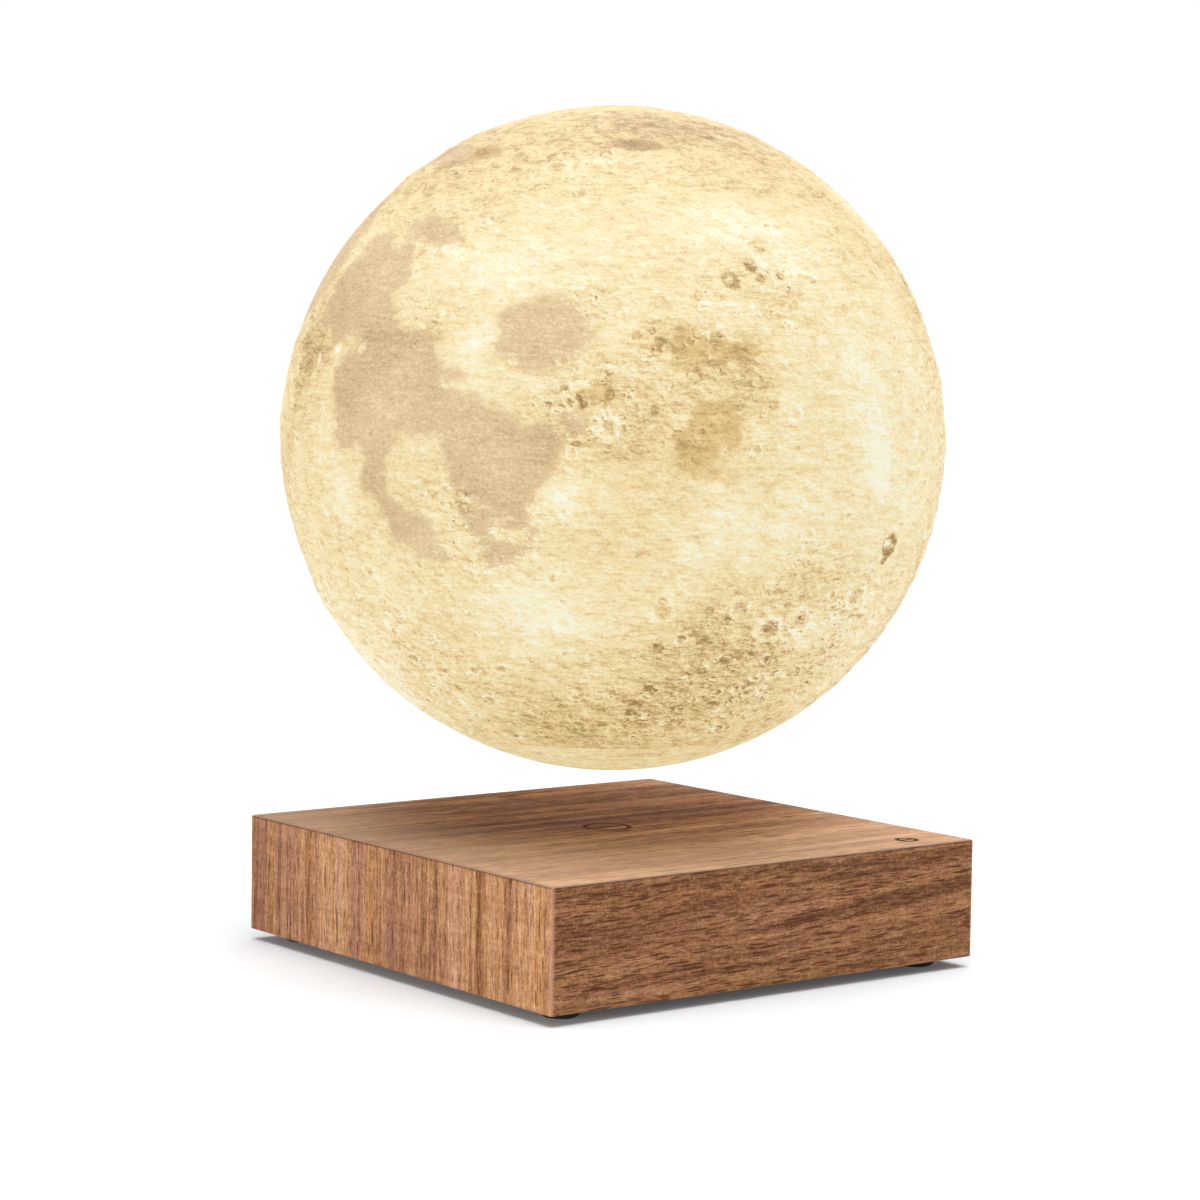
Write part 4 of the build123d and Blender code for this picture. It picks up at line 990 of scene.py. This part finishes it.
def walnut_material(name, turn, seed, across, shade, sheen=0.12, **look):
    """Walnut veneer with its grain turned and its own cut. The top has a painted sheen and its burnt
    engraving.
    """
    material, sheet, shader, place = material_of(name, Specular_IOR_Level=sheen)
    turned = {"Vector": place, "Rotation": (0, math.radians(turn), 0)}
    turned = sheet.add("ShaderNodeMapping", turned).outputs[0]
    wavy = sheet.noise(turned, (0.03, 0.09, 0.09), 4, 0.65)
    side = sheet.total(sheet.apart(place)[across], sheet.around(wavy, STRIPE_WANDER))
    rows = [dict(zip(STRIPE_INPUTS, stripe)) for stripe in STRIPES.get(name, ())]
    shade = chain(sheet, "Stripe", rows, shade, along=sheet.apart(turned)[0], across=side)
    wood = use(sheet, "Walnut", place=sheet.vector("ADD", turned, seed), shade=shade, **look)
    facts = {"half_width": CASE_HALF / MM, "top": CASE_TOP / MM, "width": EDGE_LINE_WIDTH}
    edge = use(sheet, "Edge line and highlight", place=place, **facts)
    # the top's rim gets a dark joint line, and the upright corners a painted highlight
    layers = [(edge["Line"], EDGE_LINE), (edge["Corner highlight"], CORNER_HIGHLIGHT)]
    if name == "walnut_top":
        # painted sheen on the top, outside the moon's painted shadow
        layers.append((use(sheet, "Painted sheen", place=place)["Mask"], PAINTED_SHEEN))
        layers.append((chain(sheet, "Burnt mark", ENGRAVINGS.values(), place=place), BURNT))
    result = wood["Colour"]
    for mask, (strength, tint) in layers:
        result = sheet.mix(sheet.times(mask, strength), result, colour(*tint))
    sheet.put(shader["Base Color"], result)
    sheet.put(shader["Roughness"], wood["Roughness"])
    bump(sheet, shader, wood["Height"], WOOD_DEPTH, 0.7)
    return material


def plain_material(name, group, depth, strength=1.0, roughness=0.5, metallic=0.0, **facts):
    """A material whose colour, roughness and bump come from one group. The bump's depth is in millimetres."""
    material, sheet, shader, place = material_of(name, roughness, metallic)
    stuff = use(sheet, group, place=place, **facts)
    sheet.put(shader["Base Color"], stuff["Colour"])
    if "Roughness" in stuff:
        sheet.put(shader["Roughness"], stuff["Roughness"])
    bump(sheet, shader, stuff["Height"], depth, strength)
    return material


def moulded_group():
    """The faint unevenness of moulded or painted stuff: colour, roughness and a fine bump."""
    inputs = {"Place": ORIGIN, "Colour": WHITE, "Grain": 1.5, "Uneven": 0.15, "Base roughness": 0.5}
    sheet, given, out = group_of("Moulded", inputs, ["Colour", "Roughness", "Height"])
    cloudy = sheet.noise(given["Place"], 0.12, 3, 0.6)
    fine = sheet.noise(given["Place"], given["Grain"], 2, 0.5)
    change = sheet.total(sheet.around(cloudy, 1.0), sheet.around(fine, 0.8))
    uneven = sheet.scaled(change, given["Uneven"], 1.0)
    rough = sheet.total(given["Base roughness"], sheet.around(fine, 0.16), sheet.around(cloudy, 0.1))
    sheet.put(out["Colour"], sheet.tinted(given["Colour"], sheet.joined(uneven, uneven, uneven)))
    sheet.put(out["Roughness"], rough)
    sheet.put(out["Height"], fine)


def moulded_material(name, tint, roughness, grain, uneven):
    """Plastic, rubber or ceramic."""
    facts = {"colour": colour(*tint), "grain": grain, "uneven": uneven, "base_roughness": roughness}
    return plain_material(name, "Moulded", 0.05, 0.5, **facts)


def lights_material():
    """The yellow lens of a light that is on."""
    material, sheet, shader, place = material_of("light_yellow", roughness=0.3)
    stuff = use(sheet, "Moulded", place=place, colour=colour(250, 222, 120), grain=1.2, uneven=0.2)
    sheet.put(shader["Base Color"], stuff["Colour"])
    sheet.put(shader["Emission Color"], stuff["Colour"])
    shader["Emission Strength"].default_value = 2.0
    return material


def wound_group():
    """Turns of wire round the upright axis: the wire's colour on each turn's back and painted shade in the
    grooves.
    """
    inputs = {"Place": ORIGIN, "Pitch": 0.6, "Wire": WHITE, "Groove": WHITE}
    sheet, given, out = group_of("Wound wire", inputs, ["Colour", "Height"])
    along = sheet.total(sheet.from_axis(given["Place"]), sheet.apart(given["Place"])[2])
    turns = sheet.calc("FRACT", sheet.calc("DIVIDE", along, given["Pitch"]))
    back = sheet.calc("SINE", sheet.times(turns, math.pi))
    tarnish = sheet.noise(given["Place"], 0.4, 3, 0.6)
    shine = sheet.mix(sheet.step(tarnish, 0.3, 0.7, 0, 0.35), given["Wire"], given["Groove"])
    sheet.put(out["Colour"], sheet.mix(sheet.step(back, 0.2, 0.7), given["Groove"], shine))
    sheet.put(out["Height"], back)


def copper_material():
    """Enamelled copper wire."""
    # the groove colour is painted shade between the turns, and the tarnish draws towards it
    tints = {"wire": colour(205, 120, 72), "groove": colour(82, 36, 18)}
    return plain_material("copper", "Wound wire", 0.15, roughness=0.28, metallic=1.0, pitch=0.6, **tints)


def board_group():
    """A circuit board's lacquer, with paler tracks that run along X and Y."""
    inputs = {"Place": ORIGIN, "Lacquer": WHITE, "Track": WHITE}
    sheet, given, out = group_of("Circuit board", inputs, ["Colour", "Height"])
    x, y, _ = sheet.apart(given["Place"])

    def lines(place, scale, width):
        """1 on the lines of a brick pattern."""
        inputs = {"Vector": place, "Scale": scale, "Mortar Size": width}
        return sheet.add("ShaderNodeTexBrick", inputs).outputs["Fac"]

    along = lines(sheet.joined(x, y, 0.0), 0.12, 0.012)
    across = lines(sheet.joined(y, x, 0.0), 0.2, 0.015)
    tracks = sheet.calc("MAXIMUM", along, across)
    sheet.put(out["Colour"], sheet.mix(sheet.times(tracks, 0.55), given["Lacquer"], given["Track"]))
    sheet.put(out["Height"], tracks)


def board_material(name, lacquer, track):
    """A lacquered circuit board."""
    tints = {"lacquer": colour(*lacquer), "track": colour(*track)}
    return plain_material(name, "Circuit board", 0.06, roughness=0.35, **tints)


def brushed_group():
    """Fine scratches along X, as colour, roughness and height."""
    inputs = {"Place": ORIGIN, "Colour": WHITE, "Base roughness": 0.35}
    sheet, given, out = group_of("Brushed", inputs, ["Colour", "Roughness", "Height"])
    scratches = sheet.noise(given["Place"], (0.4, 6.0, 6.0), 3, 0.6)
    stains = sheet.noise(given["Place"], 0.3, 3, 0.6)
    tint = sheet.step(sheet.total(scratches, stains), 0.6, 1.5, 0.78, 1.08)
    sheet.put(out["Colour"], sheet.tinted(given["Colour"], sheet.joined(tint, tint, tint)))
    rough = sheet.total(given["Base roughness"], sheet.around(stains, 0.2), sheet.around(scratches, 0.15))
    sheet.put(out["Roughness"], rough)
    sheet.put(out["Height"], scratches)


def brushed_material(name, tint, roughness):
    """Bare or plated metal."""
    facts = {"colour": colour(*tint), "base_roughness": roughness}
    return plain_material(name, "Brushed", 0.02, 0.6, metallic=1.0, **facts)


# Each look's shade is partly the veneer's own tone and partly painted light: the top is lighter, as if lit
# from above, and the front and back darker
TOP_LOOK = {"shade": 0.22, "pores": 0.6, "ripple": 0.1, "bands": 0.7, "lines": 0.9, "mauve": 0.7}
TOP_LOOK.update({"fibre": 1.05, "pore_size": 1.8, "sheen": 0.03})
FRONT_LOOK = {"shade": -0.055, "pores": 1.0, "ripple": 0.04, "bands": 0.35, "lines": 0.52, "mauve": 0.4}
FRONT_LOOK["fibre"] = 0.9
SIDE_LOOK = {"shade": 0.08, "pores": 0.3, "ripple": 0.3, "bands": 0.1, "lines": 0.6, "mauve": 1.0}
SIDE_LOOK.update({"fibre": 1.2, "bend": 2.0})
PALE_LOOK = {"shade": 0.5, "pores": 0.0, "bands": 0.4}

WOODS = {  # degrees that the grain is turned, its place in the log, the axis across it and the look
    "walnut_top": (0, (310, 40, 0), 1, TOP_LOOK),
    "walnut_front": (1, (90, 20, 7), 2, FRONT_LOOK),
    "walnut_back": (2, (700, 60, 30), 2, FRONT_LOOK),
    "walnut_left": (90, (40, 500, 0), 1, SIDE_LOOK),
    "walnut_right": (90, (140, 900, 0), 1, SIDE_LOOK),
    "pale_wood": (0, (50, 50, 0), 1, PALE_LOOK),
}
BOARDS = {  # lacquer and tracks
    "circuit_board": ((14, 84, 46), (60, 150, 84)),
    "light_board_white": ((236, 236, 230), (205, 205, 200)),
}
METALS = {  # colour and roughness
    "screw_steel": ((196, 196, 198), 0.3),
    "plated_steel": ((190, 192, 192), 0.36),
    "capacitor_can": ((212, 214, 216), 0.32),
    "contact_metal": ((226, 214, 176), 0.25),
    "nickel": ((214, 212, 206), 0.16),
}
MOULDED = {  # colour, roughness, grain and how uneven it is
    "black_plastic": ((34, 34, 36), 0.5, 2.0, 0.2),
    "black_rubber": ((26, 25, 24), 0.8, 1.2, 0.35),
    "ferrite": ((58, 58, 60), 0.7, 1.4, 0.3),
    "chip_black": ((40, 40, 42), 0.55, 3.0, 0.2),
    "chip_tan": ((170, 138, 100), 0.6, 2.0, 0.2),
    "white_plastic": ((236, 233, 224), 0.45, 1.5, 0.05),
    "lead_sleeve": ((178, 34, 26), 0.4, 1.2, 0.15),
}
GROUPS = (
    crater_mark_group, ground_group, moon_print_group, stripe_group, walnut_group, edge_line_and_highlight_group,
    painted_sheen_group, burnt_mark_group, moulded_group, wound_group, board_group, brushed_group,
)


def make_materials():
    """Every group and every material."""
    for build in GROUPS:
        build()
    for name, (turn, seed, across, look) in WOODS.items():
        materials[name] = walnut_material(name, turn, seed, across, **look)
    for build, table in ((board_material, BOARDS), (brushed_material, METALS), (moulded_material, MOULDED)):
        for name, facts in table.items():
            materials[name] = build(name, *facts)
    materials["moon_plastic"] = moon_material()
    materials["copper"] = copper_material()
    materials["light_yellow"] = lights_material()


def dress_nodes():
    """Gives each CAD node the material of its slot, and each walnut panel its own cut."""
    for part in frame["record"]["subparts"]:
        node = part["node"]
        cut = "walnut_" + node.removesuffix("_panel")
        name = cut if cut in materials else part["material_slot"]
        mesh = frame["nodes"][node].data
        mesh.materials.clear()
        mesh.materials.append(materials[name])


# Stage, lights and camera


def white_for_the_camera(sheet):
    """1 for rays that the camera sees straight, in a gloss or through glass, and 0 for others."""
    path = sheet.add("ShaderNodeLightPath").outputs
    seen = sheet.calc("MAXIMUM", path["Is Camera Ray"], path["Is Glossy Ray"])
    return sheet.calc("MAXIMUM", seen, path["Is Transmission Ray"])


FLOOR_NEAR = 0.24  # metres from the middle where the floor starts to turn into the backdrop
FLOOR_FAR = 0.55  # and where it has done so
FLOOR_RADIUS = 3.0
FLOOR_SHADE = (0.72, 0.72, 0.72, 1)  # what the floor throws back at the lamp
FLOOR_SEEN = (0.83, 0.865, 0.9, 1)  # what the camera sees of it
FLOOR_GLOW = 0.05


def make_floor():
    """A wide pale floor that keeps the lamp's soft shadow and turns into the white backdrop further out."""
    mesh = bmesh.new()
    bmesh.ops.create_circle(mesh, segments=64, radius=FLOOR_RADIUS, cap_ends=True)
    floor = new_piece("floor", mesh)
    material = bpy.data.materials.new("floor")
    sheet = empty_sheet(material)
    place = sheet.add("ShaderNodeTexCoord").outputs["Object"]
    far = sheet.step(sheet.length(place), FLOOR_NEAR, FLOOR_FAR)
    seen = white_for_the_camera(sheet)
    diffuse = sheet.add("ShaderNodeBsdfDiffuse", {"Color": sheet.mix(seen, FLOOR_SHADE, FLOOR_SEEN)})
    glow = {"Color": WHITE, "Strength": sheet.times(seen, FLOOR_GLOW)}
    glow = sheet.add("ShaderNodeEmission", glow).outputs[0]
    lifted = sheet.add("ShaderNodeAddShader", {0: diffuse.outputs[0], 1: glow}).outputs[0]
    backdrop = sheet.add("ShaderNodeEmission", {"Color": WHITE, "Strength": 1.0}).outputs[0]
    mixed = sheet.add("ShaderNodeMixShader", {0: sheet.times(far, seen), 1: lifted, 2: backdrop})
    sheet.add("ShaderNodeOutputMaterial", {"Surface": mixed.outputs[0]})
    floor.data.materials.append(material)


SKY = 0.3  # strength of the even light, which the camera sees as plain white


def make_world():
    """White behind the lamp and an even pale light on it."""
    world = bpy.data.worlds.new("studio")
    sheet = empty_sheet(world)
    strength = sheet.scaled(white_for_the_camera(sheet), 1.0 - SKY, SKY)
    sky = sheet.add("ShaderNodeBackground", {"Color": WHITE, "Strength": strength})
    sheet.add("ShaderNodeOutputWorld", {"Surface": sky.outputs[0]})
    bpy.context.scene.world = world


SOFTBOXES = {  # place, size and power
    "overhead": ((0.05, -0.1, 1.3), 1.6, 30.0),
    "left": ((-1.3, -0.35, 0.17), 0.3, 7.0),
    "front": ((0.4, -1.5, 0.2), 0.3, 1.5),
}
LIGHT_AIM = Vector((0, 0, 0.08))


def make_lights():
    """Plain soft boxes, all aimed at the base."""
    for name, (place, size, power) in SOFTBOXES.items():
        data = bpy.data.lights.new(name, "AREA")
        data.shape = "SQUARE"
        data.size = size
        data.energy = power
        lamp = bpy.data.objects.new(name, data)
        lamp.location = place
        lamp.rotation_mode = "QUATERNION"
        lamp.rotation_quaternion = (LIGHT_AIM - lamp.location).to_track_quat("-Z", "Y")
        bpy.context.scene.collection.objects.link(lamp)


# The photograph's camera, fitted to the corners of the base
IMAGE_WIDTH = 1200
AZIMUTH = -37.34
ELEVATION = 4.60
ROLL = 0.80
DISTANCE = 0.870
FOCAL_PIXELS = 3178.3
AIM_HEIGHT = 0.0976
AIM_ASIDE = -0.0028
SENSOR = 36


def make_camera():
    """A camera at the photograph's viewing angle."""
    turn, lift, roll = (math.radians(angle) for angle in (AZIMUTH, ELEVATION, ROLL))
    back = Vector((math.sin(turn) * math.cos(lift), -math.cos(turn) * math.cos(lift), math.sin(lift)))
    right = Vector((math.cos(turn), math.sin(turn), 0))
    up = back.cross(right)
    across = right * math.cos(roll) + up * math.sin(roll)
    along = up * math.cos(roll) - right * math.sin(roll)
    data = bpy.data.cameras.new("camera")
    data.sensor_width = SENSOR
    data.lens = FOCAL_PIXELS / IMAGE_WIDTH * SENSOR
    data.clip_start = 0.01
    data.clip_end = 20
    camera = bpy.data.objects.new("camera", data)
    place = Vector((0, 0, AIM_HEIGHT)) + right * AIM_ASIDE + back * DISTANCE
    camera.matrix_world = Matrix.Translation(place) @ Matrix((across, along, back)).transposed().to_4x4()
    bpy.context.scene.collection.objects.link(camera)
    bpy.context.scene.camera = camera


bpy.context.scene.view_settings.view_transform = "Standard"
make_camera()
make_materials()
dress_nodes()
make_moon()
make_floor()
make_world()
make_lights()
